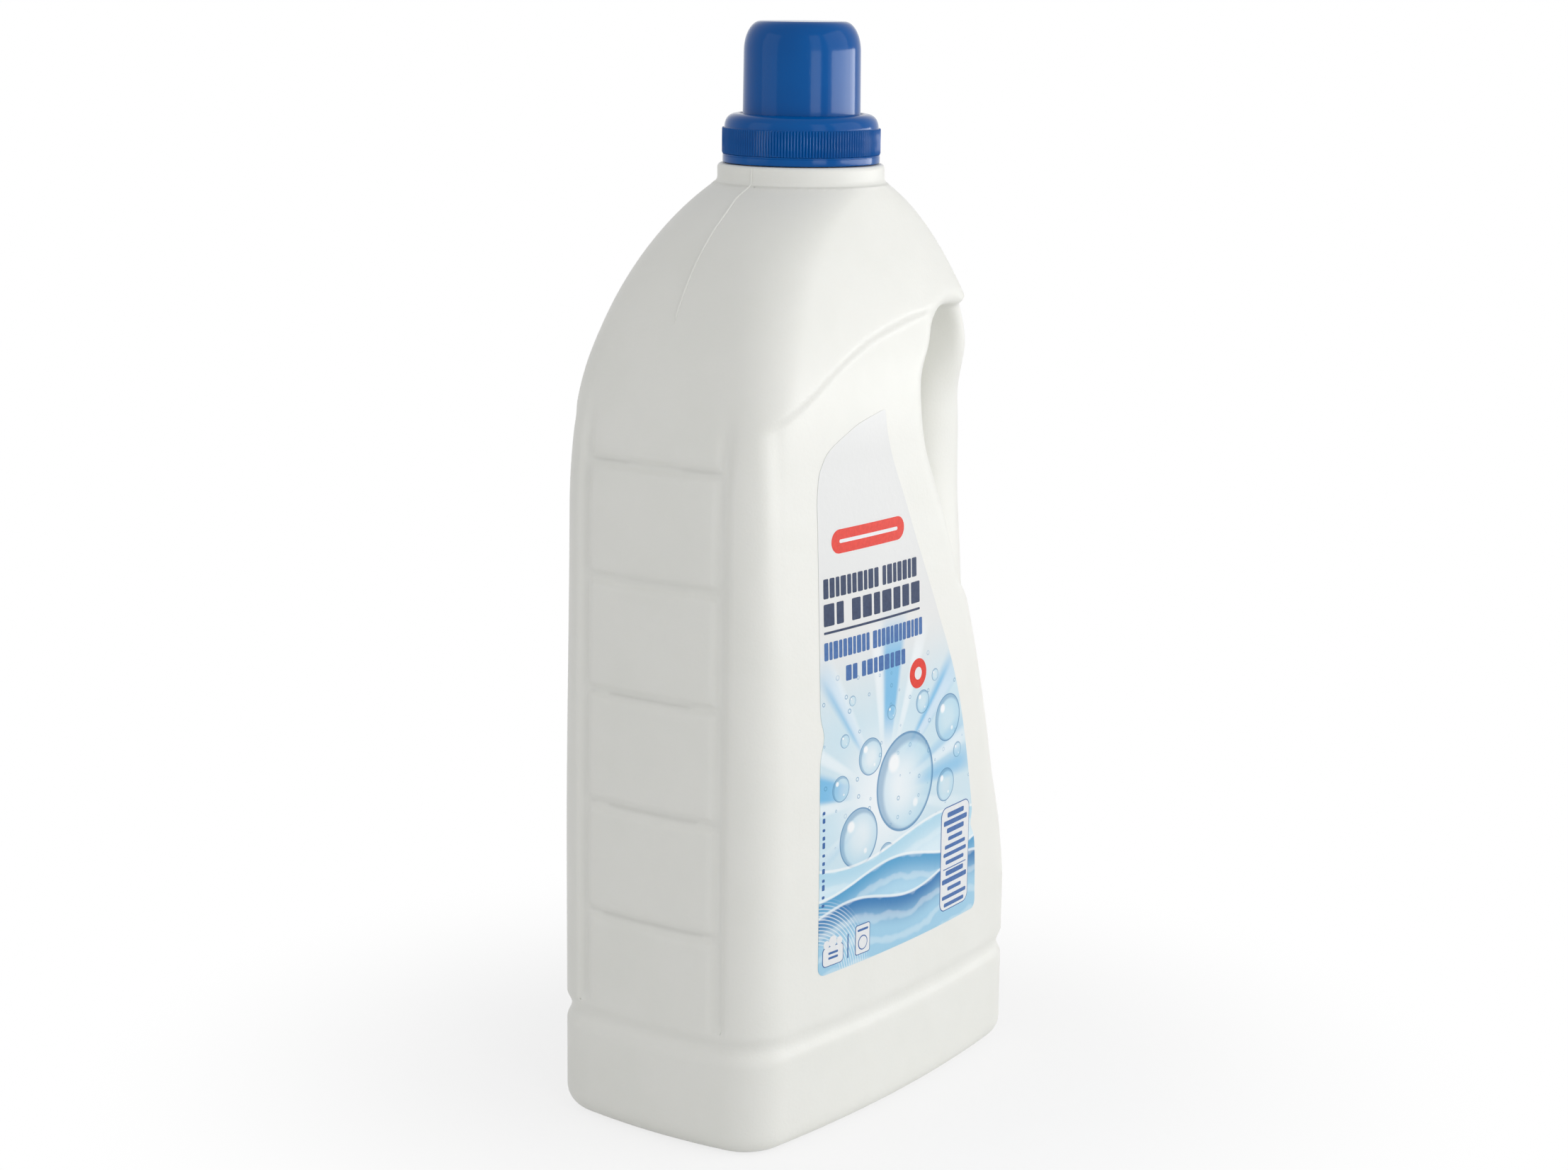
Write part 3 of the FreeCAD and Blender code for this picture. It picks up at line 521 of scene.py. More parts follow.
def moulded_group():
    """Shader group for moulded plastic, over a place in millimetres: a pebbled grain, a slow waviness of the wall
    and sparse scuffs. Height is for bump, Cloud and Scuffs are masks from 0 to 1."""
    group = bpy.data.node_groups.new("moulded_surface", "ShaderNodeTree")
    group.interface.new_socket("Place", in_out="INPUT", socket_type="NodeSocketVector")
    for name in ("Grain Scale", "Grain Height", "Wave Height", "Scuff Share"):
        group.interface.new_socket(name, in_out="INPUT", socket_type="NodeSocketFloat")
    for name in ("Height", "Cloud", "Scuffs"):
        group.interface.new_socket(name, in_out="OUTPUT", socket_type="NodeSocketFloat")
    given = group.nodes.new("NodeGroupInput")
    result = group.nodes.new("NodeGroupOutput")
    place = given.outputs["Place"]
    scaled = group.nodes.new("ShaderNodeVectorMath")
    scaled.operation = "SCALE"
    group.links.new(place, scaled.inputs[0])
    group.links.new(given.outputs["Grain Scale"], scaled.inputs["Scale"])
    pebbles = group.nodes.new("ShaderNodeTexVoronoi")
    pebbles.feature = "SMOOTH_F1"
    pebbles.inputs["Scale"].default_value = 1.0
    group.links.new(scaled.outputs[0], pebbles.inputs["Vector"])
    grain = Field(group, pebbles.outputs["Distance"]) * 0.6 + noise(group, scaled.outputs[0], 1.6, 3.0) * 0.8
    cloud = noise(group, place, 0.045, 2.0)
    drawn = group.nodes.new("ShaderNodeVectorMath")
    drawn.operation = "MULTIPLY"
    drawn.inputs[1].default_value = (1.0, 1.0, 0.15)
    group.links.new(place, drawn.inputs[0])
    scuffs = noise(group, drawn.outputs[0], 0.7, 4.0).step(0.63, 0.72) * noise(group, place, 0.05).step(0.48, 0.62)
    scuffs = scuffs * Field(group, given.outputs["Scuff Share"])
    height = grain * Field(group, given.outputs["Grain Height"]) + cloud * Field(group, given.outputs["Wave Height"])
    for name, field in (("Height", height - scuffs * 0.02), ("Cloud", cloud), ("Scuffs", scuffs)):
        group.links.new(field.socket, result.inputs[name])
    return group


moulded_surface = moulded_group()


def moulded_plastic(name, colour, shade, roughness, grain_scale, grain_height, wave_height, scuff_share):
    """A moulded plastic: its colour drifts slowly towards a second one, its roughness rises with the slow cloud and
    the scuffs, and its heights in millimetres go into the bump."""
    material, shader, place, fields = new_material(name)
    tree = material.node_tree
    surface = tree.nodes.new("ShaderNodeGroup")
    surface.node_tree = moulded_surface
    tree.links.new(place, surface.inputs["Place"])
    for socket, value in (("Grain Scale", grain_scale), ("Grain Height", grain_height),
                          ("Wave Height", wave_height), ("Scuff Share", scuff_share)):
        surface.inputs[socket].default_value = value
    cloud = Field(tree, surface.outputs["Cloud"])
    scuffs = Field(tree, surface.outputs["Scuffs"])
    tree.links.new(mixed(cloud.step(0.35, 0.7), colour, shade), shader.inputs["Base Color"])
    tree.links.new((cloud * 0.08 + scuffs * 0.12 + (roughness - 0.04)).socket, shader.inputs["Roughness"])
    bump = tree.nodes.new("ShaderNodeBump")
    bump.inputs["Distance"].default_value = MM
    tree.links.new(surface.outputs["Height"], bump.inputs["Height"])
    tree.links.new(bump.outputs["Normal"], shader.inputs["Normal"])
    return material, shader


polyethylene, polyethylene_shader = moulded_plastic(
    "satin_white_polyethylene", (0.87, 0.87, 0.825), (0.855, 0.857, 0.81), 0.42, 0.8, 0.055, 0.25, 0.5)
polyethylene_shader.inputs["Specular IOR Level"].default_value = 0.15
polyethylene_shader.inputs["Subsurface Weight"].default_value = 0.15
polyethylene_shader.inputs["Subsurface Radius"].default_value = (1.0, 0.95, 0.85)
polyethylene_shader.inputs["Subsurface Scale"].default_value = 2.5 * MM

bottle = make_bottle()
bottle.data.materials.append(polyethylene)
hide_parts("bottle")
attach(bottle, "bottle")


# Thread on the neck: two helical ridges of the same blow moulding, each with a sloping flank above and below, that
# grow out of the neck and die away again at their ends. The cap's own thread uses the same path and section.
thread_lead = 10.0
thread_run = 6.0
thread_rise = 1.5
thread_root = 1.1
thread_crest = 0.55
thread_low = bead_top + 2.2
thread_rows = 90


def thread_ridge(radius, outward, low, start):
    """A helix: height rises by the lead for each turn. Its section is a trapezoid whose size eases in and out."""
    share = np.linspace(0, 1, thread_rows)
    turn = start + share * thread_run / thread_lead * 2 * np.pi
    radial = np.stack([np.cos(turn), np.sin(turn), 0 * turn], 1)
    path = radial * radius + np.outer(low + share * thread_run, (0, 0, 1))
    across = np.tile([0.0, 0.0, 1.0], (thread_rows, 1))
    size = 0.15 + 0.85 * smooth_step(np.minimum(share, 1 - share), 0, 0.12)
    section = [(-thread_root, -0.3), (thread_root, -0.3), (thread_crest, thread_rise), (-thread_crest, thread_rise)]
    return ridge(path, across, radial * outward, section, size)


neck_thread = shaped_piece(
    "neck_thread", *joined([thread_ridge(neck_r, 1, thread_low, start) for start in (0, math.pi)]), polyethylene)
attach(neck_thread, "bottle")


# Parting line: the fine raised seam where the two halves of the mould met. It shows on the narrow shoulder, from
# half way up to the bead, and steps aside a little below the neck.
seam_low = neck_low - 42.0
seam_r = 0.42
seam_kink_z = neck_low - 3.5


def seam_path():
    """Up the middle of the narrow shoulder at its half width, then up the neck's flare and bead."""
    z = np.linspace(seam_low, neck_low - 0.2, 90)
    kink = 0.7 * np.exp(-((z - seam_kink_z) / 2.5) ** 2)
    shoulder = np.stack([-shoulder_width(z), kink, z], 1)
    flare = np.array([(-r, 0.0, h) for r, h in neck_profile[:8]])
    return np.concatenate([shoulder, flare])


seam = seam_path()
seam_run = np.gradient(seam, axis=0)
seam_out = np.stack([-seam_run[:, 2], 0 * seam_run[:, 2], seam_run[:, 0]], 1)
seam_out /= np.linalg.norm(seam_out, axis=1, keepdims=True)
seam_size = seam_r * (0.1 + 0.9 * smooth_step(np.linspace(0, 1, len(seam)), 0, 0.08))
seam_round = [(math.cos(a), 0.9 * math.sin(a)) for a in np.arange(8) * math.pi / 4]
parting_line = shaped_piece(
    "parting_line", *ridge(seam, np.tile([0.0, 1.0, 0.0], (len(seam), 1)), seam_out, seam_round, seam_size),
    polyethylene)
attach(parting_line, "bottle")


# Pourer: a drain-back plug of natural polypropylene with a slanted spout, pressed into the neck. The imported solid
# has its real form, so it stays and only gets its milky, slightly translucent plastic.
milky, milky_shader = moulded_plastic(
    "milky_polypropylene", (0.72, 0.75, 0.75), (0.66, 0.70, 0.71), 0.34, 1.4, 0.015, 0.06, 0.2)
milky_shader.inputs["Subsurface Weight"].default_value = 0.3
milky_shader.inputs["Subsurface Radius"].default_value = (1.0, 1.0, 1.0)
milky_shader.inputs["Subsurface Scale"].default_value = 2.0 * MM
for material_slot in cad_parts["pour_spout"].material_slots:
    material_slot.material = milky


# Sealing washer: a flat ring cut from white foamed sheet, which lies loose under the deck of the cap. Its packed
# solid stays as well, with the foam's fine open cells.
foam, foam_shader = moulded_plastic(
    "foamed_washer", (0.78, 0.78, 0.75), (0.70, 0.70, 0.66), 0.75, 3.2, 0.12, 0.05, 0.0)
for material_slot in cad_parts["seal_ring"].material_slots:
    material_slot.material = foam


# Front label: a printed film bonded to the panel on the front face. Square at its foot, arched to a point at its
# upper right and slanted beside the grip. It is a thin shell that lies on the skin. The soft fields of colour are
# its own print: pale above, light rays, bubbles and long waves below.
label_low, label_high = [np.array(corner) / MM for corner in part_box("front_label")]
label_left, label_right = label_low[0], label_high[0]
label_foot, label_top = label_low[2], label_high[2]
label_side_top = label_top - 23.6
label_corner_r = 3.0
film_under, film_over = -0.12, 0.15
nick_left_z, nick_right_z = label_foot + 82.1, label_foot + 32.1


def face_y(x, z, side):
    """Depth of the skin under each point of the wide view, found by halving the stretch that it lies in."""
    near = np.full(np.shape(x), 20.0)
    far = np.full(np.shape(x), 54.0)
    for _ in range(24):
        middle = (near + far) / 2
        inside = skin_distance(x, side * middle, z) < 0
        near = np.where(inside, middle, near)
        far = np.where(inside, far, middle)
    return side * (near + far) / 2


def film_shell(x, z, side, under, over):
    """Closed film over a grid of places in the wide view: its back lies at under and its front at over above the
    skin, and a strip round the border joins them."""
    rows, columns = x.shape
    depth = face_y(x, z, side)
    layers = [np.stack([x, depth + side * lift, z], 2).reshape(-1, 3) for lift in (under, over)]
    front = grid_faces(rows, columns, False)
    index = np.arange(rows * columns).reshape(rows, columns)
    border = np.concatenate([index[0], index[1:, -1], index[-1, -2::-1], index[-2:0:-1, 0]])
    after = np.roll(border, -1)
    strip = np.stack([border, after, after + rows * columns, border + rows * columns], 1)
    faces = np.concatenate([front[:, ::-1], front + rows * columns, strip])
    return np.concatenate(layers), faces.tolist()


def label_sides(z):
    """Left and right edge of a label at each height, with its round corners at the foot and two shallow nicks."""
    crown = curve_at(z, label_side_top + np.array([-30, -12, 0, 8, 14, 17.6, 21.2, 23.6]),
                     np.array([0, 0, 0, 1.8, 6.9, 14.1, 23.4, 33.9]))
    slope = curve_at(z, label_side_top + np.array([-163.5, -138, -118, -76, -48, -12, 18.4, 23.6]),
                     np.array([0, 1.5, 5.6, 17.3, 30.5, 48, 61, 61.6]))
    rise = np.clip(z - label_foot, 0, label_corner_r)
    corner = label_corner_r - np.sqrt(label_corner_r ** 2 - (label_corner_r - rise) ** 2)
    nick_left = 2.0 * np.exp(-((z - nick_left_z) / 5.0) ** 2)
    nick_right = 2.2 * np.exp(-((z - nick_right_z) / 3.5) ** 2)
    return label_left + crown + corner + nick_left, label_right - slope - corner - nick_right


def label_film(side):
    """Rows of points from edge to edge at each height, closer together at the round foot and the arched top."""
    z = np.concatenate([
        label_foot + label_corner_r * (1 - np.cos(np.linspace(0, np.pi / 2, 7))),
        np.linspace(label_foot + label_corner_r, label_side_top, 90)[1:],
        label_top - (label_top - label_side_top) * (1 - np.linspace(0, 1, 40)[1:]) ** 1.4])
    left, right = label_sides(z)
    share = np.linspace(0, 1, 40)[None, :]
    x = left[:, None] + (right - left)[:, None] * share
    return film_shell(x, np.broadcast_to(z[:, None], x.shape), side, film_under, film_over)


def bubble_group():
    """Shader group for one printed bubble in the wide view: Rim is its dark outline, Tint deepens towards the rim
    as a smooth step of the distance from its middle, and Glint is the light spot at its upper left."""
    group = bpy.data.node_groups.new("printed_bubble", "ShaderNodeTree")
    for name in ("Across", "Up", "Middle Across", "Middle Up", "Radius"):
        group.interface.new_socket(name, in_out="INPUT", socket_type="NodeSocketFloat")
    for name in ("Rim", "Tint", "Glint"):
        group.interface.new_socket(name, in_out="OUTPUT", socket_type="NodeSocketFloat")
    given = group.nodes.new("NodeGroupInput")
    result = group.nodes.new("NodeGroupOutput")
    across, up, middle_across, middle_up, radius = [Field(group, socket) for socket in given.outputs[:5]]
    u = (across - middle_across).math("DIVIDE", radius)
    v = (up - middle_up).math("DIVIDE", radius)
    distance = (u * u + v * v).math("SQRT")
    inside = 1 - distance.step(0.985, 1.0)
    crescent = ((u - 0.10) * (u - 0.10) + (v + 0.08) * (v + 0.08)).math("SQRT").step(0.80, 0.93)
    spot = ((u + 0.42) * (u + 0.42) + (v - 0.45) * (v - 0.45)).math("SQRT")
    spark = ((u - 0.35) * (u - 0.35) + (v + 0.5) * (v + 0.5)).math("SQRT")
    rim = distance.step(0.90, 0.97).math("MAXIMUM", crescent * 0.55) * inside
    glint = (1 - spot.step(0.12, 0.24)).math("MAXIMUM", (1 - spark.step(0.05, 0.12)) * 0.8)
    for name, field in (("Rim", rim), ("Tint", distance.step(0.2, 1.05) * inside), ("Glint", glint)):
        group.links.new(field.socket, result.inputs[name])
    return group


printed_bubble = bubble_group()
glow_x, glow_z = -16.0, label_foot + 56.0
bubbles = [(-3, 58, 17.5), (-30, 44, 10.5), (24, 75, 8.5), (23, 51, 6.0), (-24, 71, 6.5), (-40, 63, 4.5), (7, 84, 4.2),
           (31, 62, 2.8), (-12, 84, 2.6), (15, 92, 2.2), (-38, 79, 2.4), (-14, 34, 4.8), (9, 35, 3.4), (-34, 92, 1.8)]
waves = [(38, 3.5, 0.060, 0.4, (0.45, 0.70, 0.84), (0.72, 0.86, 0.93)),
         (29, 3.2, 0.075, 2.3, (0.10, 0.36, 0.62), (0.44, 0.69, 0.85)),
         (20, 2.6, 0.090, 4.6, (0.04, 0.20, 0.46), (0.36, 0.62, 0.80))]


def label_picture(shader, place, fields):
    """Colour of the front label: a pale ground, a blue haze that comes in below, rays whose strength is a sum of
    sines of the angle about the glow, then bubbles, and waves whose crests are sines of the place across."""
    tree = shader.id_data
    x, y, z = fields
    ground = mixed(noise(tree, place, 0.03), (0.765, 0.772, 0.768), (0.79, 0.795, 0.79))
    haze = 1 - z.step(label_foot + 78, label_foot + 116)
    colour = mixed(haze * (noise(tree, place, 0.035) * 0.5 + 0.5), ground, (0.56, 0.77, 0.88))
    u = x - glow_x
    v = z - glow_z
    angle = u.math("ARCTAN2", v)
    distance = (u * u + v * v).math("SQRT")
    beams = (angle * 9.0 + 0.7).math("SINE") * 0.55 + (angle * 17.0 - 0.6).math("SINE") * 0.3
    beams = (beams + (angle * 5.0 + 2.0).math("SINE") * 0.35).step(0.0, 0.75)
    reach = distance.step(14, 30) * (1 - distance.step(46, 66)) * v.step(-26, 4)
    colour = mixed(beams * reach * 0.85, colour, (0.13, 0.46, 0.76))
    pale_beams = (angle * 13.0 + 2.6).math("SINE").step(0.5, 1.0) * reach
    colour = mixed(pale_beams * 0.6, colour, (0.90, 0.94, 0.96))
    colour = mixed((1 - distance.step(4, 34)) * 0.85, colour, (0.90, 0.93, 0.95))
    spread = tree.nodes.new("ShaderNodeCombineXYZ")
    tree.links.new(x.socket, spread.inputs[0])
    tree.links.new(z.socket, spread.inputs[1])
    froth = tree.nodes.new("ShaderNodeTexVoronoi")
    froth.voronoi_dimensions = "2D"
    froth.inputs["Scale"].default_value = 0.17
    tree.links.new(spread.outputs[0], froth.inputs["Vector"])
    kind = tree.nodes.new("ShaderNodeSeparateColor")
    tree.links.new(froth.outputs["Color"], kind.inputs[0])
    cell = Field(tree, froth.outputs["Distance"]).math("DIVIDE", Field(tree, kind.outputs[1]) * 0.7 + 0.3)
    drops = (cell.step(0.09, 0.12) - cell.step(0.15, 0.18)) * Field(tree, kind.outputs[0]).step(0.62, 0.64)
    drops = drops * z.step(label_foot + 40, label_foot + 46) * (1 - z.step(label_foot + 96, label_foot + 106))
    colour = mixed(drops * 0.75, colour, (0.09, 0.30, 0.52))
    for middle_x, rise, radius in bubbles:
        bubble = tree.nodes.new("ShaderNodeGroup")
        bubble.node_tree = printed_bubble
        tree.links.new(x.socket, bubble.inputs["Across"])
        tree.links.new(z.socket, bubble.inputs["Up"])
        bubble.inputs["Middle Across"].default_value = middle_x
        bubble.inputs["Middle Up"].default_value = label_foot + rise
        bubble.inputs["Radius"].default_value = radius
        colour = mixed(Field(tree, bubble.outputs["Tint"]) * 0.5, colour, (0.36, 0.64, 0.80))
        colour = mixed(Field(tree, bubble.outputs["Rim"]) * 0.8, colour, (0.05, 0.20, 0.42))
        colour = mixed(Field(tree, bubble.outputs["Glint"]) * 0.95, colour, (0.93, 0.95, 0.96))
    for rise, height, pitch, start, deep, light in waves:
        crest = (x * pitch + start).math("SINE") * height + (label_foot + rise)
        below = crest - z
        streak = (below * 0.8 + noise(tree, place, 0.09) * 5.0).math("SINE").step(0.1, 1.0)
        water = mixed(below.step(0, 12), deep, light)
        water = mixed(streak * 0.35, water, (0.80, 0.90, 0.95))
        colour = mixed(below.step(-0.5, 0.5), colour, water)
        colour = mixed((below + 0.3).math("ABSOLUTE").math("MULTIPLY", -1.0).step(-0.75, -0.2) * 0.7, colour,
                       (0.92, 0.95, 0.96))
    corner_u = x - (label_left - 4)
    corner_v = z - (label_foot - 4)
    rings = (corner_u * corner_u + corner_v * corner_v).math("SQRT")
    lines = (rings * 5.2).math("SINE").step(0.2, 0.8) * rings.step(14, 17) * (1 - rings.step(27, 33))
    return mixed(lines * 0.6, colour, (0.88, 0.93, 0.95))


def printed_film(name, ground, shade, roughness):
    """Satin film or ink: a slight mottle in its colour and roughness, and a faint orange peel as bump."""
    material, shader, place, fields = new_material(name)
    tree = material.node_tree
    mottle = noise(tree, place, 0.9, 4.0)
    shader.inputs["Specular IOR Level"].default_value = 0.15
    if ground:
        tree.links.new(mixed(mottle.step(0.3, 0.7), ground, shade), shader.inputs["Base Color"])
    else:
        tree.links.new(label_picture(shader, place, fields), shader.inputs["Base Color"])
    tree.links.new((mottle * 0.12 + (roughness - 0.06)).socket, shader.inputs["Roughness"])
    bump = tree.nodes.new("ShaderNodeBump")
    bump.inputs["Distance"].default_value = 0.06 * MM
    tree.links.new((noise(tree, place, 0.5, 3.0) + mottle * 0.2).socket, bump.inputs["Height"])
    tree.links.new(bump.outputs["Normal"], shader.inputs["Normal"])
    return material


front_film = shaped_piece("front_label_film", *label_film(-1), printed_film("printed_label_film", None, None, 0.36))
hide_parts("front_label", "front_print_water")
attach(front_film, "bottle")


# Print on the front label: flat inks laid on the film one after the other. It is a plain generic layout of a red
# badge, rows of blocks in navy and blue where a maker would set words, a boxed note and two small pictograms.
ink_under, ink_over = 0.1, 0.2
second_over = 0.24


def tile(left, low, width, height, radius, over=ink_over, side=-1):
    """Rounded rectangle of ink. Its columns run between two outlines, which draw in towards the ends by the corner
    radius less the chord at that place."""
    radius = min(radius, width / 2, height / 2)
    end = radius * (1 - np.cos(np.linspace(0, np.pi / 2, 3 + int(1.6 * radius + 1))))
    middle = np.linspace(radius, width - radius, 2 + int(width / 4))[1:-1]
    place = np.concatenate([end, middle, width - end[::-1]])
    inset = np.clip(radius - np.minimum(place, width - place), 0, radius)
    drop = radius - np.sqrt(radius ** 2 - inset ** 2)
    share = np.linspace(0, 1, 2 + int(height / 4))[None, :]
    z = (low + drop)[:, None] + (height - 2 * drop)[:, None] * share
    x = np.broadcast_to((left + place)[:, None], z.shape)
    return film_shell(x, z, side, ink_under, over)


def block_row(left, right, low, height, words, seed):
    """Row of upright blocks in word-like groups, whose widths vary by a fixed sequence and fill the row."""
    count = sum(words)
    widths = 1.0 + 0.22 * np.sin(np.arange(count) * 2.4 + seed)
    gaps = np.full(count, 0.28)
    gaps[np.cumsum(words) - 1] = 1.0
    gaps[-1] = 0
    scale = (right - left) / (widths.sum() + gaps.sum())
    starts = left + scale * np.concatenate([[0], np.cumsum(widths + gaps)[:-1]])
    return [tile(start, low, scale * width, height, 0.45) for start, width in zip(starts, widths)]


def ink(name, colour, shade, piece_name, parts, nodes=()):
    """One ink's piece, with its material, slot and body. It stands for the nodes, if there are any."""
    piece = shaped_piece(piece_name, *joined(parts), printed_film(name, colour, shade, 0.34))
    if nodes:
        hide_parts(*nodes)
    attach(piece, "bottle")
    return piece


text_left = label_left + 2.2
heading_parts = block_row(text_left, 3.4, label_foot + 128.4, 6.6, (10, 7), 0.4)
heading_parts += block_row(text_left, 5.2, label_foot + 119.2, 7.4, (2, 7), 1.7)
heading_parts.append(tile(text_left, label_foot + 116.6, 5.2 - text_left, 0.8, 0.3))
ink("navy_ink", (0.016, 0.032, 0.085), (0.024, 0.045, 0.11), "heading_print", heading_parts,
    ("front_print_heading",))

note_left, note_low, note_width, note_height = 20.6, label_foot + 4.4, 20.2, 38.0
basin_left, basin_width, washer_left, sign_low = text_left - 0.2, 11.0, -31.2, label_foot + 2.6
blue_parts = block_row(text_left, 6.6, label_foot + 107.8, 6.0, (10, 12), 2.9)
blue_parts += block_row(text_left + 11, -4.0, label_foot + 99.4, 5.2, (2, 8), 0.9)
blue_parts.append(tile(note_left, note_low, note_width, note_height, 3.4))
blue_parts.append(tile(basin_left, sign_low, basin_width, 7.0, 1.6))
blue_parts.append(tile(washer_left, sign_low, 8.2, 10.6, 1.0))
blue_parts.append(tile(-35.4, sign_low + 0.4, 0.5, 8.6, 0.2))
for i, width in enumerate((0.9, 0.9, 1.8, 0.9, 1.6, 1.1, 0.9, 1.9, 1.2, 0.9, 1.5, 1.0)):
    blue_parts.append(tile(text_left - 0.9, label_foot + 24 + 2.9 * i, 1.3, 1.1 * width, 0.3))
ink("blue_ink", (0.045, 0.13, 0.36), (0.06, 0.16, 0.40), "subheading_print", blue_parts,
    ("front_print_subheading",))

white_parts = [tile(note_left + 0.35, note_low + 0.35, note_width - 0.7, note_height - 0.7, 3.1, second_over)]
white_parts.append(tile(basin_left + 0.3, sign_low + 0.3, basin_width - 0.6, 6.4, 1.4, second_over))
white_parts.append(tile(washer_left + 0.3, sign_low + 0.3, 7.6, 10.0, 0.8, second_over))
for across, rise, radius in ((2.0, 7.8, 1.5), (5.3, 8.4, 2.0), (8.8, 7.9, 1.5)):
    white_parts.append(tile(basin_left + across - radius, sign_low + rise - radius, 2 * radius, 2 * radius, radius,
                            second_over))
ink("white_ink", (0.83, 0.84, 0.85), (0.80, 0.815, 0.83), "white_print", white_parts)

note_rows = [(0.58, 1.8), (0.82, 1.8), (0.60, 1.8), (0.50, 1.4), (0.72, 1.4), (0.80, 1.4), (0.64, 1.4), (0.62, 1.8),
             (0.86, 1.8), (0.48, 1.4), (0.84, 1.4), (0.70, 1.4)]
fine_parts = []
row_low = note_low + note_height - 4.0
for i, (share, height) in enumerate(note_rows):
    width = share * note_width
    fine_parts.append(tile(note_left + (note_width - width) / 2, row_low, width, height, 0.5, second_over + 0.04))
    row_low -= 4.2 if i == 6 else 2.85
fine_parts.append(tile(note_left + 2, note_low + 15.1, note_width - 4, 0.35, 0.15, second_over + 0.04))
fine_parts.append(tile(basin_left + 3.0, sign_low + 2.4, 5.0, 0.8, 0.3, second_over + 0.04))
fine_parts.append(tile(basin_left + 3.0, sign_low + 4.1, 5.0, 0.8, 0.3, second_over + 0.04))
fine_parts.append(tile(washer_left + 1.5, sign_low + 1.4, 5.2, 5.2, 2.6, second_over + 0.04))
fine_parts.append(tile(washer_left + 1.2, sign_low + 8.2, 5.8, 0.8, 0.3, second_over + 0.04))
ink("fine_blue_ink", (0.05, 0.14, 0.38), (0.07, 0.17, 0.42), "note_print", fine_parts)
drum_parts = [tile(washer_left + 1.9, sign_low + 1.8, 4.4, 4.4, 2.2, second_over + 0.08)]
ink("drum_white_ink", (0.83, 0.84, 0.85), (0.80, 0.815, 0.83), "drum_print", drum_parts)

badge_low, badge_high = [np.array(corner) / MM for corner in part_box("front_print_badge")]
badge_width, badge_height = badge_high[0] - badge_low[0], badge_high[2] - badge_low[2]
seal_x, seal_z, seal_r = 4.0, label_foot + 94.5, 5.2
badge_parts = [tile(badge_low[0], badge_low[2], badge_width, badge_height, badge_height / 2)]
badge_parts.append(tile(seal_x - seal_r, seal_z - seal_r, 2 * seal_r, 2 * seal_r, seal_r))
ink("red_ink", (0.78, 0.045, 0.025), (0.70, 0.035, 0.02), "badge_print", badge_parts,
    ("front_print_badge",))
pale_parts = [tile(badge_low[0] + badge_height / 2, badge_low[2] + badge_height / 2 - 0.6,
                   badge_width - badge_height, 1.2, 0.6, second_over)]
pale_parts.append(tile(seal_x - 2.2, seal_z - 2.2, 4.4, 4.4, 2.2, second_over))
ink("badge_white_ink", (0.83, 0.84, 0.85), (0.80, 0.815, 0.83), "badge_mark_print", pale_parts)


# Back label: the same cut of film on the back face, left pale, with two columns of grey-blue rows where the small
# print would be. The photo doesn't show it.
back_film = shaped_piece(
    "back_label_film", *label_film(1),
    printed_film("pale_label_film", (0.735, 0.755, 0.775), (0.70, 0.725, 0.75), 0.36))
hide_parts("back_label")
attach(back_film, "bottle")

back_parts = [tile(text_left, label_foot + 121, 46, 9, 2.5, ink_over, 1)]
for i in range(26):
    row_z = label_foot + 9 + 4.0 * i
    if i % 9 != 8:
        for column, start in enumerate((text_left, text_left + 31)):
            room = label_sides(np.array([row_z]))[1][0] - 5 - start
            width = min(28.0, room) * (0.86 + 0.14 * math.sin(2.1 * i + column))
            if width > 8:
                back_parts.append(tile(start, row_z, width, 1.3, 0.5, ink_over, 1))
ink("back_blue_ink", (0.09, 0.20, 0.42), (0.12, 0.24, 0.46), "back_print", back_parts)


# Dosing cap: one injection moulding of glossy blue polypropylene. A ribbed collar screws on the neck, and the
# measuring cup stands on it, upside down. Outside and inside are one closed profile carried round the axis.
cap_low_corner, cap_high_corner = [np.array(corner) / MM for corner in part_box("dosing_cap")]
cap_foot, cap_top = cap_low_corner[2], cap_high_corner[2]
cup_foot = cap_top - 30.6
deck_z = cup_foot - 2.0
collar_r, lip_r, skirt_bore_r, cup_bore_r = 26.35, 26.6, 25.0, 18.5
band_low, band_top = cap_foot + 2.9, cup_foot - 4.65
cup_edge_z, cup_edge_width = cap_top - 10.0, 5.7
cap_columns = 192
rib_count = 160
rib_section = np.array([0.0, 0.22, 0.85, 1.0, 0.85, 0.22])
rib_proud = 0.5
collar_top_r, collar_swell = 22.5, 0.8


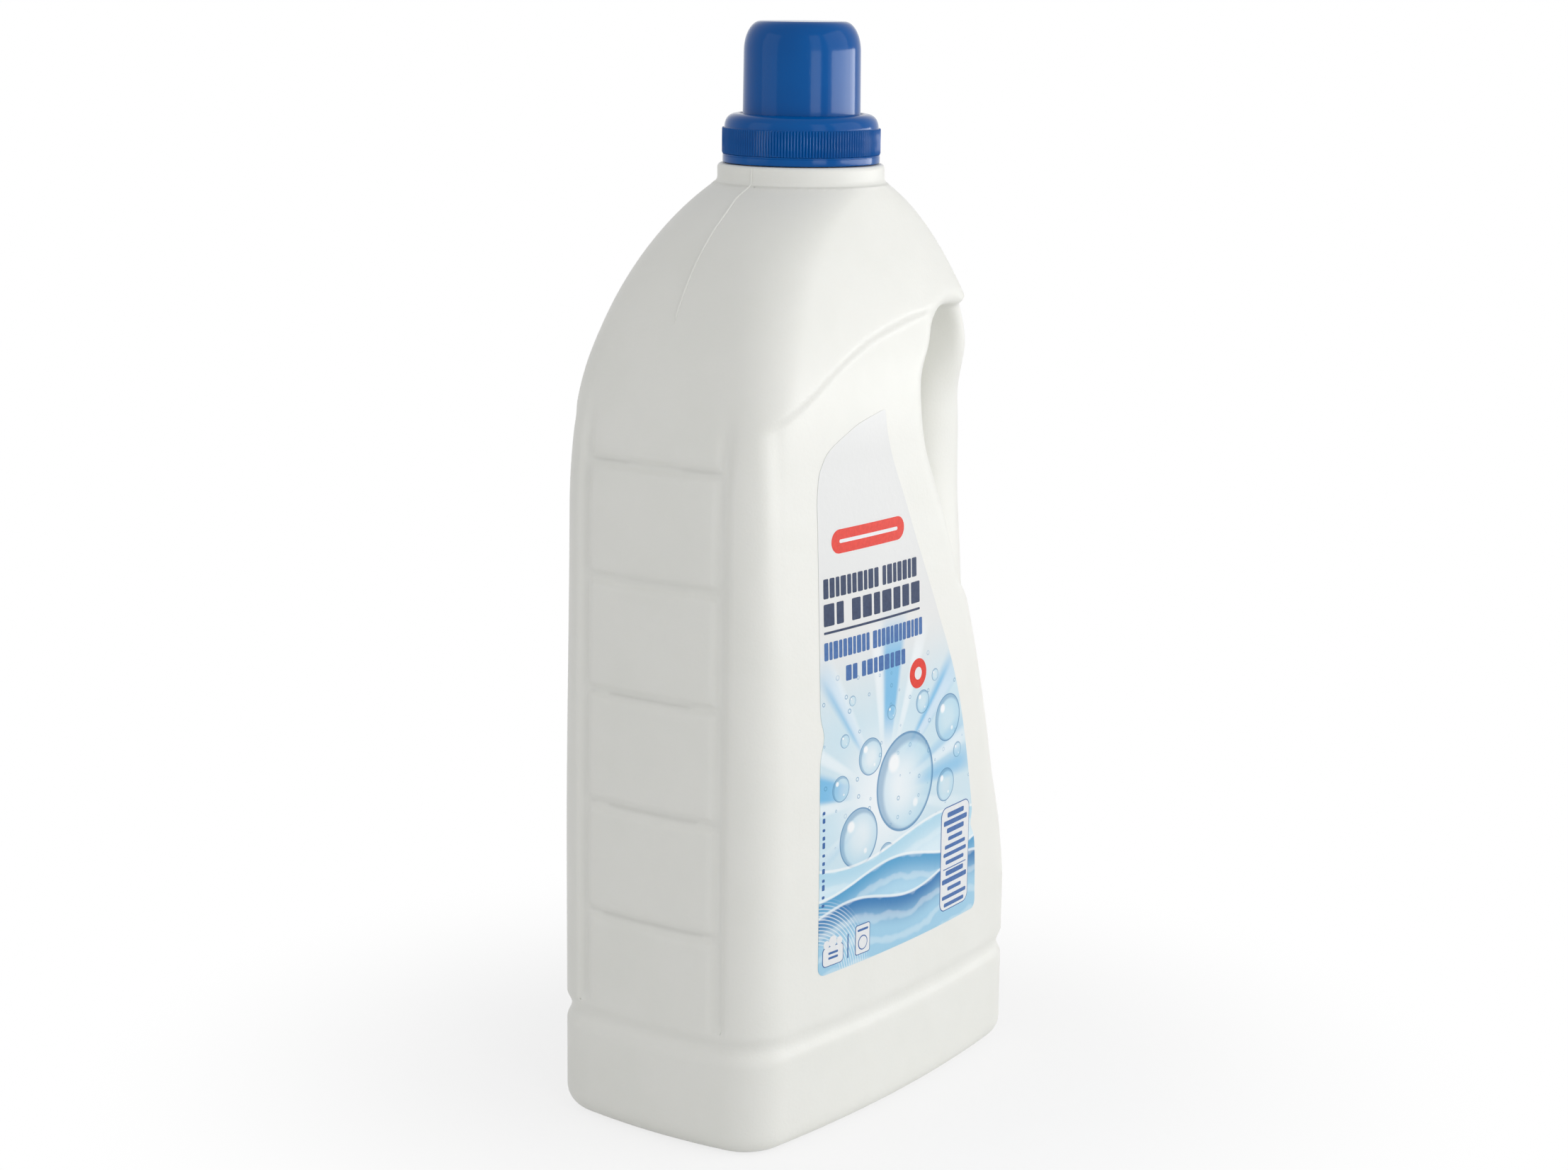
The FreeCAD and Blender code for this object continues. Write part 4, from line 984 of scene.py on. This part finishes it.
def cap_profiles():
    """Radius and height of the cap outside, from the skirt's foot to the pole, and inside, from the pole back. The
    collar's shoulder is a chord plus a parabola, and the cup's edge is a quarter of an ellipse."""
    share = np.linspace(0, 1, 15)
    swell = 4 * share * (1 - share) * collar_swell
    shoulder = np.stack([collar_r - 0.3 + (collar_top_r - collar_r + 0.3) * share + swell,
                         band_top + 0.15 + (cup_foot - band_top - 0.15) * share + swell], 1)
    angle = np.linspace(0, np.pi / 2, 20)
    edge_r = 19.7 - cup_edge_width
    edge = np.stack([edge_r + cup_edge_width * np.cos(angle), cup_edge_z + (cap_top - cup_edge_z) * np.sin(angle)], 1)
    outside = ([(skirt_bore_r, cap_foot)] + round_corner((lip_r - 0.35, cap_foot + 0.35), 0.35, -90, 0, 5)
               + [(lip_r, band_low - 0.75), (lip_r - 0.12, band_low - 0.65), (lip_r - 0.12, band_low - 0.5),
                  (lip_r, band_low - 0.4), (lip_r - 0.05, band_low - 0.1), (collar_r - 0.15, band_low),
                  (collar_r - 0.15, band_top - 0.1), (collar_r - 0.2, band_top + 0.05)]
               + shoulder.tolist()
               + [(21.5, cup_foot + 0.1), (20.95, cup_foot - 0.05), (20.6, cup_foot - 0.5), (20.25, cup_foot - 0.55),
                  (20.0, cup_foot - 0.3), (19.9, cup_foot + 0.2), (19.87, cup_foot + 2), (19.8, cup_foot + 10)]
               + edge.tolist() + [(edge_r * 0.6, cap_top), (edge_r * 0.25, cap_top), (0, cap_top)])
    roof = cap_top - 1.4
    inside = ([(0, roof), (8, roof)] + round_corner((cup_bore_r - 4, roof - 4), 4, 90, 0, 8)
              + [(cup_bore_r, deck_z + 0.4)] + round_corner((cup_bore_r + 0.4, deck_z + 0.4), 0.4, 180, 270, 4)
              + round_corner((skirt_bore_r - 0.5, deck_z - 0.5), 0.5, 90, 0, 4)
              + [(skirt_bore_r, cap_foot + 5), (skirt_bore_r, cap_foot)])
    return outside, inside


def rib_ring():
    """Ring of fine upright ribs: every rib repeats one short row of heights round the collar, scaled to nothing at
    the ring's foot and top."""
    wave = np.tile(rib_section, rib_count) * rib_proud
    turn = np.arange(len(wave)) * 2 * np.pi / len(wave)
    rows = [(collar_r - 0.6, band_low, 0), (collar_r - 0.15, band_low, 0), (collar_r - 0.05, band_low + 0.08, 0.7),
            (collar_r - 0.05, band_low + 0.5, 1), (collar_r - 0.05, (band_low + band_top) / 2, 1),
            (collar_r - 0.05, band_top - 0.5, 1), (collar_r - 0.05, band_top - 0.08, 0.7),
            (collar_r - 0.15, band_top, 0), (collar_r - 0.6, band_top, 0), (collar_r - 0.6, band_low, 0)]
    points = []
    for radius, height, size in rows:
        reach = radius + size * wave
        points.append(np.stack([reach * np.cos(turn), reach * np.sin(turn), np.full(len(turn), height)], 1))
    return np.concatenate(points), grid_faces(len(rows), len(turn), True)


cap_parts = [revolved(profile, cap_columns) for profile in cap_profiles()] + [rib_ring()]
for start in (0, math.pi):
    cap_parts.append(thread_ridge(skirt_bore_r, -1, thread_low + 2.5, start))
cap_plastic, cap_shader = moulded_plastic(
    "glossy_blue_polypropylene", (0.0, 0.085, 0.33), (0.0, 0.094, 0.355), 0.12, 1.1, 0.004, 0.05, 0.35)
cap_shader.inputs["Specular IOR Level"].default_value = 0.13
cap = shaped_piece("dosing_cap_moulding", *joined(cap_parts), cap_plastic)
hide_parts("dosing_cap")
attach(cap, "cap")


# Floor: a wide white sheet under the bottle. It shades like matt card close to the bottle, where its shadow lies,
# and glows plain white for the camera further out.
floor_reach = 12.0
floor_mesh = bpy.data.meshes.new("floor")
floor_mesh.from_pydata([(-floor_reach, -floor_reach, 0), (floor_reach, -floor_reach, 0),
                        (floor_reach, floor_reach, 0), (-floor_reach, floor_reach, 0)], [], [(0, 1, 2, 3)])
card, card_shader, card_place, card_fields = new_material("white_card")
card_tree = card.node_tree
card_shader.inputs["Base Color"].default_value = (0.88, 0.88, 0.88, 1)
card_shader.inputs["Roughness"].default_value = 0.9
card_shader.inputs["Specular IOR Level"].default_value = 0.0
from_bottle = (card_fields[0] * card_fields[0] + card_fields[1] * card_fields[1]).math("SQRT")
rays = card_tree.nodes.new("ShaderNodeLightPath")
seen = Field(card_tree, rays.outputs["Is Camera Ray"])
seen = seen.math("MAXIMUM", Field(card_tree, rays.outputs["Is Glossy Ray"]))
seen = seen.math("MAXIMUM", Field(card_tree, rays.outputs["Is Transmission Ray"]))
glow = card_tree.nodes.new("ShaderNodeEmission")
blend = card_tree.nodes.new("ShaderNodeMixShader")
card_tree.links.new((seen * (from_bottle.step(60, 260) * 0.25 + 0.75)).socket, blend.inputs[0])
card_tree.links.new(card_shader.outputs[0], blend.inputs[1])
card_tree.links.new(glow.outputs[0], blend.inputs[2])
card_tree.links.new(blend.outputs[0], card_tree.nodes["Material Output"].inputs["Surface"])
floor_mesh.materials.append(card)
floor = bpy.data.objects.new("floor", floor_mesh)
bpy.context.scene.collection.objects.link(floor)


# Light: two tall soft boxes to the right of the camera with a narrow gap, a weaker one on the left, two low bright
# cards that only show as reflections on the cap, and a room that the camera and reflections see as plain white.
def soft_box(name, azimuth, distance, height, width, tall, power):
    """An upright rectangle of light at an azimuth from +X round the bottle, aimed at its middle."""
    data = bpy.data.lights.new(name, "AREA")
    data.shape = "RECTANGLE"
    data.size = width
    data.size_y = tall
    data.energy = power
    light = bpy.data.objects.new(name, data)
    turn = math.radians(azimuth)
    place = Vector((distance * math.cos(turn), distance * math.sin(turn), height))
    aim = Vector((0, 0, 0.2)) - place
    aim.z *= 0.4
    light.matrix_world = Matrix.Translation(place) @ aim.to_track_quat("-Z", "Y").to_matrix().to_4x4()
    light.visible_camera = False
    bpy.context.scene.collection.objects.link(light)
    return light


soft_box("front_soft_box", 292, 1.3, 0.72, 1.25, 1.5, 9.0)
soft_box("near_soft_box", 242, 1.35, 0.70, 0.5, 1.5, 3.4)
soft_box("left_soft_box", 148, 1.4, 0.70, 0.9, 1.3, 3.3)
for name, azimuth, width, power in (("cap_reflector", 308, 1.7, 15.0), ("cap_edge_reflector", 242, 0.45, 1.6)):
    soft_box(name, azimuth, 1.3, 0.26, width, 0.34, power).visible_diffuse = False

world = bpy.data.worlds.new("white_room")
bpy.context.scene.world = world
world.use_nodes = True
world_tree = world.node_tree
world_rays = world_tree.nodes.new("ShaderNodeLightPath")
room_seen = Field(world_tree, world_rays.outputs["Is Camera Ray"])
room_seen = room_seen.math("MAXIMUM", Field(world_tree, world_rays.outputs["Is Glossy Ray"]))
room_seen = room_seen.math("MAXIMUM", Field(world_tree, world_rays.outputs["Is Transmission Ray"]))
room_light = 0.45
world_tree.links.new((room_seen * (1 - room_light) + room_light).socket,
                     world_tree.nodes["Background"].inputs["Strength"])
world_tree.nodes["Background"].inputs["Color"].default_value = (1, 1, 1, 1)
bpy.context.scene.view_settings.view_transform = "Standard"


# Camera: where the photo was taken from, to the bottle's left front and a little above its shoulder, from about a
# metre away. Its place and its three directions were fitted to the photo's outline.
camera_data = bpy.data.cameras.new("camera")
camera_data.sensor_width = 36
camera_data.lens = 68.06
camera = bpy.data.objects.new("camera", camera_data)
camera_place = (-0.824986, -0.583231, 0.386700)
camera_right = (0.58246, -0.81281, 0.01116)
camera_up = (0.15882, 0.12725, 0.97911)
camera_ahead = (0.79722, 0.56850, -0.20320)
camera.matrix_world = Matrix([[camera_right[i], camera_up[i], -camera_ahead[i], camera_place[i]] for i in range(3)]
                             + [[0, 0, 0, 1]])
bpy.context.scene.collection.objects.link(camera)
bpy.context.scene.camera = camera
